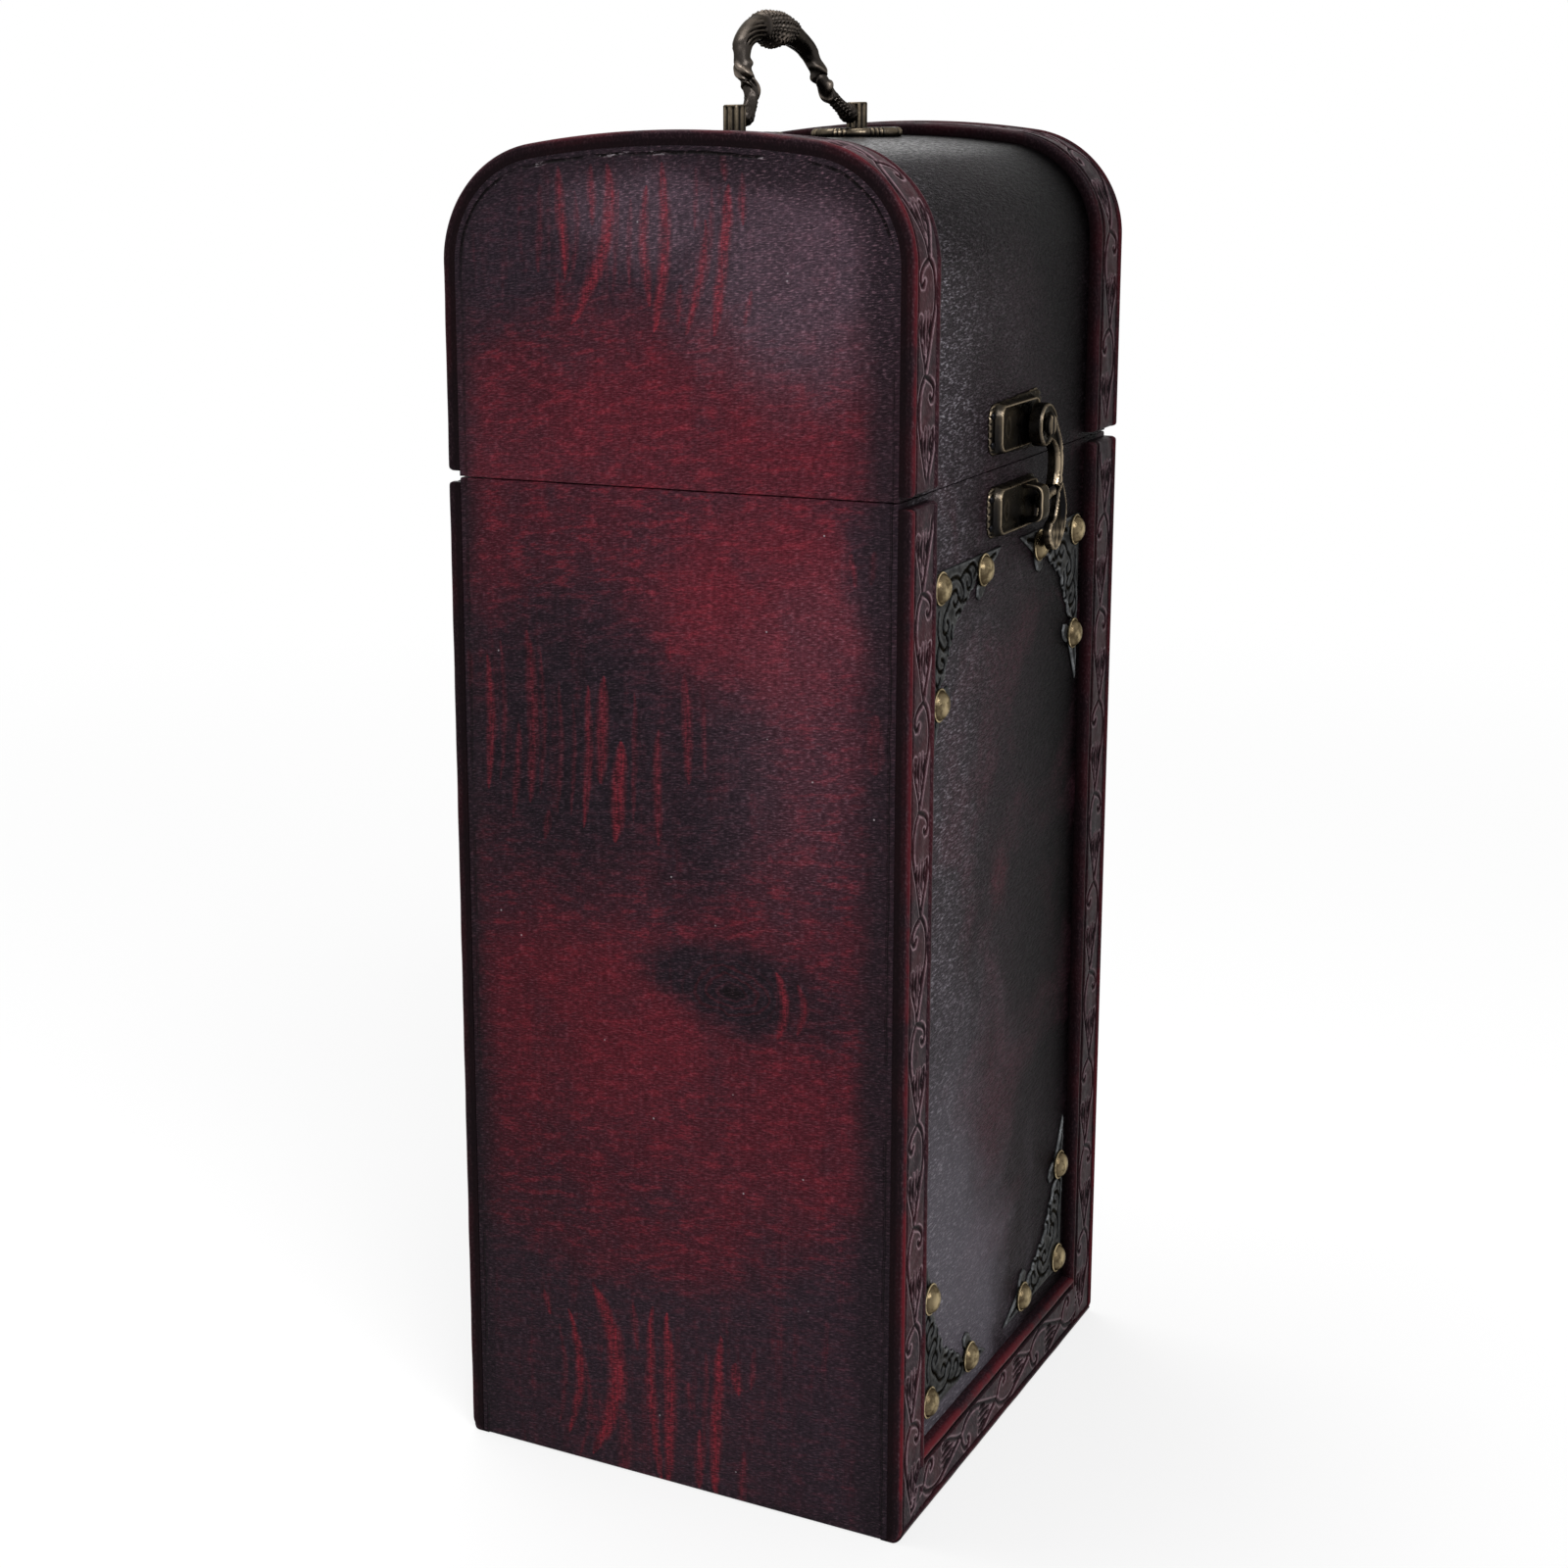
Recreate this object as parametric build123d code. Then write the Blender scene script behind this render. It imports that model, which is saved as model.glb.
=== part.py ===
from build123d import *
import os
from math import atan2, cos, degrees, hypot, pi, radians, sin, sqrt

# Upright wooden box for one wine bottle, with a domed lid hinged at the back.
# Millimetres, +Z up, the front faces -Y, and the origin is on the floor under the middle.

# Case
case_width = 143.0
case_depth = 121.0
case_height = 335.0
seam_height = 253.3
seam_gap = 0.3
lid_corner_radius = 28.0
lid_crown_radius = 246.0

# Boards
side_thickness = 6.0
board_thickness = 5.0
bottom_thickness = 5.0
shell_thickness = 3.5

# Carved mouldings, laid on the front and back edges of the boards
moulding_width = 16.6
moulding_thickness = 3.5
moulding_end_gap = 1.4
outer_bead = 2.4
inner_bead = 1.5
groove_width = 1.2
groove_depth = 1.6
band_drop = 0.4

# Corner plates on the front board
corner_plate_thickness = 0.8
corner_side_inset = 3.9
corner_bottom_inset = 5.2
corner_top_below_seam = 19.3
corner_tip_gap = 12.4
corner_waist = 15.2
corner_shoulder = 8.6
corner_neck = 5.6
corner_tooth = 1.3
tongue_length = 6.4
tongue_radius = 1.7
corner_tack_inset = 3.8
arm_tack_from_tip = 13.4

# Domed tacks
tack_head_radius = 4.0
tack_head_height = 2.3
tack_shank_radius = 0.8
tack_length = 3.8

# Latch plates, measured from the seam and from the middle of the front
latch_length = 33.0
latch_height = 12.4
latch_corner_radius = 3.4
latch_flange = 0.8
latch_body_inset = 1.6
latch_body_height = 2.6
latch_body_round = 1.1
upper_plate_above_seam = 9.7
lower_plate_below_seam = 10.3
latch_pin_radius = 0.6
latch_pin_head = 1.0
latch_pin_head_height = 0.7
latch_pin_length = 2.6
latch_pin_end_inset = 2.6
latch_pin_side_inset = 2.7

# Latch hook, its rivet, and the bridge that its finger goes under
pivot_from_middle = 9.3
pivot_above_seam = 8.7
eye_radius = 5.4
eye_round = 0.9
hook_thickness = 3.3
hook_lift = 0.3
rivet_radius = 1.5
rivet_head_radius = 2.7
rivet_head_height = 0.9
finger_radius = 19.3
finger_width = 3.0
finger_thickness = 2.3
finger_start_angle = 1.2
finger_end_angle = 27.0
arm_width = 4.0
leaf_lift = 1.4
bridge_width = 5.4
bridge_height = 9.6
bridge_wall = 1.2
bridge_depth = 6.8
bridge_to_finger = 0.4
leaf_clearance = 1.2

# Handle
post_inset = 18.6
post_radius = 2.7
post_height = 6.5
post_top_round = 0.4
post_flutes = 10
flute_radius = 0.42
flute_stop = 0.8
rosette_radius = 12.0
rosette_thickness = 2.2
rosette_lobes = 14
rosette_lobe_radius = 1.6
pivot_above_rosette = 3.5
handle_lean = 18.0
ball_radius = 2.4
pin_radius = 1.0
pin_into_post = 3.7
bail_inset = 12.9
knot_radius = 3.1
knot_heights = (8.9, 13.7)
bail_stations = (
    # in from the side of the bail, height above the pins, radius
    (-2.2, 2.9, 1.6),
    (0.0, 5.9, 1.6),
    (0.4, 9.0, 1.9),
    (0.2, 13.6, 2.1),
    (1.9, 17.6, 2.8),
    (5.9, 20.7, 3.3),
    (11.5, 22.3, 3.9),
    (17.4, 22.6, 4.6),
)
grip_radius = 4.8
grip_height = 22.7
bail_root_radius = 1.85
handle_screw_radius = 1.5
handle_screw_head_radius = 3.2
handle_screw_head_height = 1.4
handle_screw_into_post = 2.0

# Hinges at the back
hinge_length = 22.0
hinge_leaf_height = 11.0
hinge_leaf_thickness = 1.0
hinge_spacing = 66.0
hinge_corner_radius = 2.0
hinge_axis_inset = 0.6
knuckle_radius = 2.1
knuckle_gap = 0.3
hinge_pin_radius = 1.0
hinge_pin_head_radius = 1.6
hinge_pin_head_length = 0.8
hinge_screw_radius = 0.9
hinge_screw_head_radius = 1.8
hinge_screw_head_height = 0.7
hinge_screw_length = 2.4
hinge_screw_spacing = 13.0

# Clearances
running_clearance = 0.05
fastener_clearance = 0.05
part_clearance = 0.3

# Places worked out from the sizes above
half_width = case_width / 2
half_depth = case_depth / 2
face_y = half_depth - moulding_thickness
inside_x = half_width - side_thickness
opening_x = half_width - moulding_width
box_top = seam_height - seam_gap / 2
lid_bottom = seam_height + seam_gap / 2
lid_top = case_height - moulding_thickness
post_x = opening_x - post_inset
bail_half_span = post_x - bail_inset


def arch_points(inset):
    """Points of the lid's outline in Y and Z, from the front springing to the back one."""
    corner = lid_corner_radius - inset
    crown = lid_crown_radius - inset
    across = half_depth - lid_corner_radius
    crown_z = case_height - lid_crown_radius
    rise = sqrt((lid_crown_radius - lid_corner_radius) ** 2 - across ** 2)
    spring_z = crown_z + rise
    lean = atan2(rise, across)
    front = [(-across - corner, spring_z)]
    middle = (pi - lean + pi) / 2
    front.append((-across + corner * cos(middle), spring_z + corner * sin(middle)))
    front.append((-across - corner * cos(lean), spring_z + corner * sin(lean)))
    back = [(-y, z) for y, z in reversed(front)]
    return front + [(0, crown_z + crown)] + back


def arch_edges(inset, foot, x):
    """The outline as edges in the plane X = x, with straight legs down to the foot."""
    pts = [(x, y, z) for y, z in arch_points(inset)]
    legs = [(x, pts[0][1], foot), (x, pts[-1][1], foot)]
    edges = [Edge.make_line(legs[0], pts[0])]
    edges.append(Edge.make_three_point_arc(pts[0], pts[1], pts[2]))
    edges.append(Edge.make_three_point_arc(pts[2], pts[3], pts[4]))
    edges.append(Edge.make_three_point_arc(pts[4], pts[5], pts[6]))
    edges.append(Edge.make_line(pts[6], legs[1]))
    return edges


def arch_solid(inset, foot, x_low, x_high):
    """A solid under the lid's outline, between two X planes."""
    edges = arch_edges(inset, foot, x_low)
    edges.append(Edge.make_line(edges[-1] @ 1, edges[0] @ 0))
    face = Face(Wire(edges))
    return Solid.extrude(face, Vector(x_high - x_low, 0, 0))


def block(x_low, x_high, y_low, y_high, z_low, z_high):
    """A box given by its limits."""
    size = (x_high - x_low, y_high - y_low, z_high - z_low)
    centre = ((x_low + x_high) / 2, (y_low + y_high) / 2, (z_low + z_high) / 2)
    return Pos(*centre) * Box(*size)


def rod(start, end, radius):
    """A round bar between two points."""
    direction = Vector(*end) - Vector(*start)
    plane = Plane(origin=start, z_dir=direction)
    return extrude(plane * Circle(radius), direction.length)


def front_prism(outline, y_from, y_to):
    """A flat piece parallel to the front, from an outline in X and Z."""
    plane = Plane(origin=(0, y_from, 0), x_dir=(1, 0, 0), z_dir=(0, -1, 0))
    return extrude(plane * outline, y_from - y_to)


def moulding_profile(edge):
    """Section of the moulding: outer edge, carved band between two grooves, inner bead."""
    band = moulding_thickness - band_drop
    low = moulding_thickness - groove_depth
    bead_from = moulding_width - inner_bead
    side = band - inner_bead / 2
    lines = Polyline(edge[0], (0, 0), (moulding_width, 0), (moulding_width, side))
    lines += ThreePointArc((moulding_width, side), (moulding_width - inner_bead / 2, band), (bead_from, side))
    lines += Polyline(
        (bead_from, side),
        (bead_from - groove_width / 2, low),
        (bead_from - groove_width, band),
        (outer_bead + groove_width, band),
        (outer_bead + groove_width / 2, low),
        edge[2],
    )
    lines += ThreePointArc(*edge)
    return make_face(lines)


def half_round_edge():
    """The outer bead of the uprights and of the lid: start, top and end of its arc."""
    side = moulding_thickness - outer_bead / 2
    return [(0, side), (outer_bead / 2, moulding_thickness), (outer_bead, side)]


def quarter_round_edge():
    """The rounded edge along the floor: start, middle and end of its arc."""
    low = moulding_thickness - outer_bead
    turn = radians(45)
    middle = (outer_bead * (1 - cos(turn)), low + outer_bead * sin(turn))
    return [(0, low), middle, (outer_bead, moulding_thickness)]


def upright_moulding():
    """The front left moulding of the box, mitred at its foot."""
    top = seam_height - moulding_end_gap
    plane = Plane(origin=(-half_width, -face_y, top), x_dir=(1, 0, 0), z_dir=(0, 0, -1))
    bar = extrude(plane * moulding_profile(half_round_edge()), top)
    keep = Polygon(
        (-half_width, 0), (-opening_x, moulding_width), (-opening_x, top), (-half_width, top), align=None
    )
    return bar & front_prism(keep, -face_y, -half_depth)


def bottom_moulding():
    """The front moulding along the floor, mitred at both ends."""
    plane = Plane(origin=(-half_width, -face_y, 0), x_dir=(0, 0, 1), z_dir=(1, 0, 0))
    bar = extrude(plane * moulding_profile(quarter_round_edge()), case_width)
    corners_low = ((-half_width, 0), (half_width, 0))
    corners_high = ((opening_x, moulding_width), (-opening_x, moulding_width))
    keep = Polygon(*corners_low, *corners_high, align=None)
    return bar & front_prism(keep, -face_y, -half_depth)


def lid_moulding():
    """The left moulding of the lid, bent up the front, over the crown and down the back."""
    foot = seam_height + moulding_end_gap
    path = Wire(arch_edges(moulding_thickness, foot, -half_width))
    plane = Plane(origin=(-half_width, -face_y, foot), x_dir=(1, 0, 0), z_dir=(0, 0, -1))
    return sweep(plane * moulding_profile(half_round_edge()), path=path)


def nail(x, z, surface_y, shank_radius, length, head_radius, head_height, seat):
    """A nail in the front: its shank goes into the wood, and its domed head sits on a plate."""
    head_y = surface_y - seat
    ball = (head_radius ** 2 + head_height ** 2) / (2 * head_height)
    sphere = Pos(x, head_y + ball - head_height, z) * Sphere(ball)
    reach = 2 * ball
    above = block(x - reach, x + reach, head_y - reach, head_y, z - reach, z + reach)
    return (sphere & above) + rod((x, head_y, z), (x, surface_y + length, z), shank_radius)


def nail_hole(x, z, surface_y, shank_radius, length, above):
    """The hole for such a nail."""
    reach = length + fastener_clearance
    return rod((x, surface_y - above, z), (x, surface_y + reach, z), shank_radius + fastener_clearance)


def corner_outline(arm):
    """Corner plate with its corner at (0, 0) and its arms along +X and +Y."""
    tack = arm - arm_tack_from_tip
    neck_x = tack - tongue_length * 0.35
    half = [(arm, 0), (tack + 3.2, corner_neck)]
    half.append((tack - 0.8, corner_neck + 0.4))
    half.append((neck_x - 1.5, corner_neck - 1.0))
    steps = 3
    run = (neck_x - 3.5 - corner_waist) / steps
    rise = (corner_waist - corner_shoulder) / steps
    for step in range(steps):
        x = neck_x - 3.5 - run * step
        y = corner_shoulder + rise * step
        half.append((x, y))
        half.append((x - run * 0.75, y + rise - corner_tooth))
    half.append((corner_waist, corner_waist))
    other = [(y, x) for x, y in reversed(half[:-1])]
    return Polygon((0, 0), *half, *other, align=None)


def tongue_outline(arm):
    """The little curled leaf beside the arm's tack."""
    tack = arm - arm_tack_from_tip
    root = (tack + 1.6, corner_neck - 0.6)
    tip = (tack - tongue_length * 0.35, corner_neck + tongue_length * 0.62)
    span = hypot(tip[0] - root[0], tip[1] - root[1])
    angle = degrees(atan2(tip[1] - root[1], tip[0] - root[0]))
    middle = ((tip[0] + root[0]) / 2, (tip[1] + root[1]) / 2)
    return Pos(*middle) * Rot(0, 0, angle) * SlotCenterToCenter(span, tongue_radius * 2)


def corner_plate(arm, places):
    """The lower left corner plate at the origin of its corner, lying on the front board."""
    outline = corner_outline(arm) + tongue_outline(arm)
    outline += mirror(tongue_outline(arm), about=Plane(origin=(0, 0, 0), z_dir=(1, -1, 0)))
    plate = front_prism(outline, 0, -corner_plate_thickness)
    for x, z in places:
        plate -= nail_hole(x, z, 0, tack_shank_radius, 0, corner_plate_thickness)
    return plate


def latch_plate(z_middle):
    """A latch plate: a thin flange with a thicker rounded body on it."""
    centre = Pos(0, z_middle)
    flange = centre * RectangleRounded(latch_length, latch_height, latch_corner_radius)
    body = centre * RectangleRounded(
        latch_length - 2 * latch_pin_end_inset - 2 * latch_body_inset,
        latch_height - 2 * latch_body_inset,
        latch_corner_radius - latch_body_inset / 2,
    )
    raised = front_prism(body, -face_y, -face_y - latch_body_height)
    raised = fillet(raised.faces().sort_by(Axis.Y)[0].edges(), latch_body_round)
    return front_prism(flange, -face_y, -face_y - latch_flange) + raised


def latch_pin_places(z_middle):
    """Centres of a latch plate's four pins."""
    x = latch_length / 2 - latch_pin_end_inset / 2
    z = latch_height / 2 - latch_pin_side_inset
    return [(sx * x, z_middle + sz * z) for sx in (-1, 1) for sz in (-1, 1)]


def polar(angle, radius):
    """A point at an angle from straight down about the hook's rivet, in X and Z."""
    turn = radians(angle)
    return (
        pivot_from_middle + radius * sin(turn),
        seam_height + pivot_above_seam - radius * cos(turn),
    )


def hook_outline_finger():
    """The finger: a stretch of a ring about the rivet, with a round end."""
    inner = finger_radius - finger_width / 2
    outer = finger_radius + finger_width / 2
    middle = (finger_start_angle + finger_end_angle) / 2
    lines = ThreePointArc(
        polar(finger_start_angle, inner), polar(middle, inner), polar(finger_end_angle, inner)
    )
    lines += Line(polar(finger_end_angle, inner), polar(finger_end_angle, outer))
    lines += ThreePointArc(
        polar(finger_end_angle, outer), polar(middle, outer), polar(finger_start_angle, outer)
    )
    lines += Line(polar(finger_start_angle, outer), polar(finger_start_angle, inner))
    return make_face(lines)


def hook_outline_arm():
    """The arm: out from the eye, down past the seam, and back to the finger."""
    out = finger_radius * 0.58
    outer = [polar(150, eye_radius), polar(86, eye_radius + 1.6), polar(62, out + arm_width / 2)]
    outer += [polar(42, finger_radius * 0.93), polar(33, finger_radius + finger_width / 2)]
    inner = [polar(26, finger_radius - finger_width / 2), polar(36, finger_radius - arm_width)]
    inner += [polar(48, out + arm_width * 0.1), polar(50, eye_radius - 1.0)]
    edge = Spline(*outer) + Line(outer[-1], inner[0]) + Spline(*inner) + Line(inner[-1], outer[0])
    return make_face(edge)


def hook_outline_leaf():
    """The thumb leaf below the arm, kept clear of the bridge when the hook swings home."""
    clear = pivot_above_seam + lower_plate_below_seam + bridge_height / 2 + leaf_clearance
    start = polar(37, finger_radius + 0.6)
    right = [start, polar(34, clear + 1.2), polar(27, clear + 4.6), polar(15, clear + 8.2)]
    left = [polar(9, clear + 7.4), polar(4.5, clear + 2.6), polar(8, clear), polar(22, clear)]
    left.append(polar(26, finger_radius + 0.6))
    edge = Spline(*right) + Spline(right[-1], *left[:3]) + Spline(*left[2:]) + Line(left[-1], start)
    return make_face(edge)


def latch_hook():
    """The hook: eye, arm, finger and thumb leaf in one casting."""
    base = -face_y - latch_body_height - hook_lift
    front = base - hook_thickness
    eye = front_prism(Pos(*polar(0, 0)) * Circle(eye_radius), base, front)
    eye = fillet(eye.faces().sort_by(Axis.Y)[0].edges(), eye_round)
    hook = eye + front_prism(hook_outline_arm(), base - leaf_lift / 2, front)
    hook += front_prism(hook_outline_finger(), base, base - finger_thickness)
    hook += front_prism(hook_outline_leaf(), base - leaf_lift, front)
    bore = rivet_radius + running_clearance
    x, z = polar(0, 0)
    return hook - rod((x, base + 1, z), (x, front - 1, z), bore)


def latch_rivet():
    """The rivet that carries the hook, with its tail in the upper plate."""
    base = -face_y - latch_body_height - hook_lift
    front = base - hook_thickness - part_clearance
    x, z = polar(0, 0)
    shank = rod((x, -face_y - latch_flange / 2, z), (x, front, z), rivet_radius)
    head = rod((x, front, z), (x, front - rivet_head_height, z), rivet_head_radius)
    head = fillet(head.faces().sort_by(Axis.Y)[0].edges(), rivet_head_height * 0.6)
    return shank + head


def bridge():
    """The raised bridge on the lower plate, open on both sides for the hook's finger."""
    x_high = polar(finger_start_angle, finger_radius - finger_width / 2)[0] - bridge_to_finger
    x_low = x_high - bridge_width
    z_middle = seam_height - lower_plate_below_seam
    half = bridge_height / 2
    front = -face_y - bridge_depth
    outer = block(x_low, x_high, front, -face_y - latch_flange, z_middle - half, z_middle + half)
    outer = fillet(outer.faces().sort_by(Axis.Y)[0].edges(), bridge_wall * 0.8)
    floor = -face_y - latch_body_height
    roof = front + bridge_wall
    inner = half - bridge_wall
    slot = block(x_low - 1, x_high + 1, roof, floor, z_middle - inner, z_middle + inner)
    return outer - slot


def rosette(x):
    """A lobed base plate under a handle post, bedded on the lid's crown."""
    low = lid_top - rosette_thickness
    plane = Plane(origin=(x, 0, low))
    face = Circle(rosette_radius - rosette_lobe_radius / 2)
    for step in range(rosette_lobes):
        turn = 360 / rosette_lobes * step
        lobe = Rot(0, 0, turn) * Pos(rosette_radius - rosette_lobe_radius, 0) * Circle(rosette_lobe_radius)
        face += lobe
    plate = extrude(plane * face, 2 * rosette_thickness)
    plate -= arch_solid(moulding_thickness, seam_height, x - case_width, x + case_width)
    hole = handle_screw_radius + fastener_clearance
    return plate - rod((x, 0, low), (x, 0, lid_top + 2 * rosette_thickness), hole)


def post(x):
    """A fluted post with a blind bore for the bail's pin and a hole for its screw."""
    low = lid_top + rosette_thickness
    body = rod((x, 0, low), (x, 0, low + post_height), post_radius)
    body = fillet(body.faces().sort_by(Axis.Z)[-1].edges(), post_top_round)
    for step in range(post_flutes):
        turn = radians(360 / post_flutes * (step + 0.5))
        at = (x + post_radius * cos(turn), post_radius * sin(turn))
        body -= rod((*at, low), (*at, low + post_height - flute_stop), flute_radius)
    side = -1 if x > 0 else 1
    pivot_z = low + pivot_above_rosette
    bore = pin_radius + running_clearance
    inner = x + side * (post_radius + 1)
    depth = inner - side * (pin_into_post + 1 + fastener_clearance)
    body -= rod((inner, 0, pivot_z), (depth, 0, pivot_z), bore)
    hole = handle_screw_radius + fastener_clearance
    return body - rod((x, 0, low), (x, 0, low + handle_screw_into_post), hole)


def bail():
    """The carrying bail: pins, balls, arms with two knots each, and a thick grip."""
    ball_x = post_x - post_radius - part_clearance - ball_radius
    pin_end = post_x - post_radius + pin_into_post
    half = [(ball_x - 0.6, 0.6, bail_root_radius)]
    half += [(bail_half_span - inset, height, radius) for inset, height, radius in bail_stations]
    points = half + [(0, grip_height, grip_radius)]
    points += [(-x, z, r) for x, z, r in reversed(half)]
    sections = []
    for index, (x, z, radius) in enumerate(points):
        before = points[max(index - 1, 0)]
        after = points[min(index + 1, len(points) - 1)]
        along = (after[0] - before[0], 0, after[1] - before[1])
        sections.append(Plane(origin=(x, 0, z), x_dir=(0, 1, 0), z_dir=along) * Circle(radius))
    solid = loft(sections, ruled=True)
    for side in (-1, 1):
        solid += Pos(side * ball_x, 0, 0) * Sphere(ball_radius)
        solid += rod((side * ball_x, 0, 0), (side * pin_end, 0, 0), pin_radius)
        for height in knot_heights:
            solid += Pos(side * bail_half_span, 0, height) * Sphere(knot_radius)
    return Pos(0, 0, lid_top + rosette_thickness + pivot_above_rosette) * Rot(-handle_lean, 0, 0) * solid


def handle_screw(x):
    """The screw from inside the lid, up into a post."""
    under = lid_top - shell_thickness - fastener_clearance
    top = lid_top + rosette_thickness + handle_screw_into_post - fastener_clearance
    head = rod((x, 0, under - handle_screw_head_height), (x, 0, under), handle_screw_head_radius)
    head = fillet(head.faces().sort_by(Axis.Z)[0].edges(), handle_screw_head_height * 0.5)
    return head + rod((x, 0, under), (x, 0, top), handle_screw_radius)


axis_y = half_depth - hinge_axis_inset
middle_knuckle = hinge_length / 3
leaf_clear = knuckle_radius + part_clearance


def hinge_leaf(x, side):
    """A hinge leaf on the back: side 1 is the lid's, with one knuckle, and -1 the box's, with two."""
    z_near = seam_height + side * leaf_clear
    z_far = seam_height + side * (leaf_clear + hinge_leaf_height)
    low, high = sorted((z_near, z_far))
    back = face_y + hinge_leaf_thickness
    half = hinge_length / 2
    leaf = block(x - half, x + half, face_y, back, low, high)
    corners = leaf.edges().filter_by(Axis.Y).group_by(Axis.Z)[-1 if side > 0 else 0]
    leaf = fillet(corners, hinge_corner_radius)
    inner = middle_knuckle / 2 - (knuckle_gap if side > 0 else 0)
    spans = [(-inner, inner)] if side > 0 else [(-half, -inner), (inner, half)]
    for start, end in spans:
        root_low, root_high = sorted((seam_height, z_near))
        leaf += block(x + start, x + end, face_y + part_clearance, back + part_clearance, root_low, root_high)
        leaf += rod((x + start, axis_y, seam_height), (x + end, axis_y, seam_height), knuckle_radius)
    bore = hinge_pin_radius + running_clearance
    leaf -= rod((x - half - 1, axis_y, seam_height), (x + half + 1, axis_y, seam_height), bore)
    for sx, z in hinge_screw_places(x, side):
        leaf -= rod((sx, face_y, z), (sx, back + 1, z), hinge_screw_radius + fastener_clearance)
    return leaf


def hinge_screw_places(x, side):
    """Centres of a leaf's two screws."""
    z = seam_height + side * (leaf_clear + hinge_leaf_height / 2)
    return [(x + sx * hinge_screw_spacing / 2, z) for sx in (-1, 1)]


def hinge_pin(x):
    """The pin, with a head beyond each outer knuckle."""
    half = hinge_length / 2 + running_clearance
    pin = rod((x - half, axis_y, seam_height), (x + half, axis_y, seam_height), hinge_pin_radius)
    for side in (-1, 1):
        start = (x + side * half, axis_y, seam_height)
        end = (x + side * (half + hinge_pin_head_length), axis_y, seam_height)
        pin += rod(start, end, hinge_pin_head_radius)
    return pin


def hinge_screw(x, z):
    """A hinge screw from the back into the wood."""
    seat = face_y + hinge_leaf_thickness
    head = rod((x, seat, z), (x, seat + hinge_screw_head_height, z), hinge_screw_head_radius)
    head = fillet(head.faces().sort_by(Axis.Y)[-1].edges(), hinge_screw_head_height * 0.5)
    return head + rod((x, seat, z), (x, face_y - hinge_screw_length, z), hinge_screw_radius)


def hinge_screw_hole(x, z):
    """The hole for a hinge screw in the wood."""
    reach = face_y - hinge_screw_length - fastener_clearance
    return rod((x, face_y + 1, z), (x, reach, z), hinge_screw_radius + fastener_clearance)


# Where the repeated things go
corner_arm = opening_x - corner_side_inset - corner_tip_gap / 2
corner_x = opening_x - corner_side_inset
corner_low = moulding_width + corner_bottom_inset
corner_high = seam_height - corner_top_below_seam
tack_along = corner_arm - arm_tack_from_tip
tack_local = [(corner_tack_inset, corner_tack_inset), (tack_along, corner_tack_inset)]
tack_local.append((corner_tack_inset, tack_along))
corners = {
    "lower_left": (-1, 1, corner_low),
    "lower_right": (1, 1, corner_low),
    "upper_left": (-1, -1, corner_high),
    "upper_right": (1, -1, corner_high),
}
upper_plate_z = seam_height + upper_plate_above_seam
lower_plate_z = seam_height - lower_plate_below_seam
hinge_places = {"left": -hinge_spacing / 2, "right": hinge_spacing / 2}
post_places = {"left": -post_x, "right": post_x}

parts = {}

# Boards of the box
parts["left_side_panel"] = block(-half_width, -inside_x, -face_y, face_y, 0, box_top)
parts["right_side_panel"] = mirror(parts["left_side_panel"], about=Plane.YZ)
front_board = block(-inside_x, inside_x, -face_y, -face_y + board_thickness, 0, box_top)
back_board = block(-inside_x, inside_x, face_y - board_thickness, face_y, 0, box_top)
inner_y = face_y - board_thickness
parts["bottom_panel"] = block(-inside_x, inside_x, -inner_y, inner_y, 0, bottom_thickness)

# Boards of the lid
lid_sheet = arch_solid(moulding_thickness, lid_bottom, -inside_x, inside_x)
lid_sheet -= arch_solid(moulding_thickness + shell_thickness, lid_bottom - 1, -half_width, half_width)
parts["lid_left_side_panel"] = arch_solid(moulding_thickness, lid_bottom, -half_width, -inside_x)
parts["lid_right_side_panel"] = mirror(parts["lid_left_side_panel"], about=Plane.YZ)

# Mouldings
parts["front_left_moulding"] = upright_moulding()
parts["front_bottom_moulding"] = bottom_moulding()
parts["lid_left_moulding"] = lid_moulding()
for name in ("front_left", "lid_left"):
    other = name.replace("left", "right") + "_moulding"
    parts[other] = mirror(parts[name + "_moulding"], about=Plane.YZ)
for name in ("left", "right", "bottom"):
    parts["back_" + name + "_moulding"] = mirror(parts["front_" + name + "_moulding"], about=Plane.XZ)

# Corner plates and their tacks
tacks = []
for name, (side, up, z_corner) in corners.items():
    plate = corner_plate(corner_arm, tack_local)
    if side > 0:
        plate = mirror(plate, about=Plane.YZ)
    if up < 0:
        plate = mirror(plate, about=Plane.XY)
    parts[name + "_corner_plate"] = Pos(side * corner_x, -face_y, z_corner) * plate
    for along, high in tack_local:
        x = side * (corner_x - along)
        z = z_corner + up * high
        seat = corner_plate_thickness
        tacks.append(
            nail(x, z, -face_y, tack_shank_radius, tack_length, tack_head_radius, tack_head_height, seat)
        )
        front_board -= nail_hole(x, z, -face_y, tack_shank_radius, tack_length, 0)
parts["corner_tacks"] = Compound(children=[tack.solids()[0] for tack in tacks])

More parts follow.
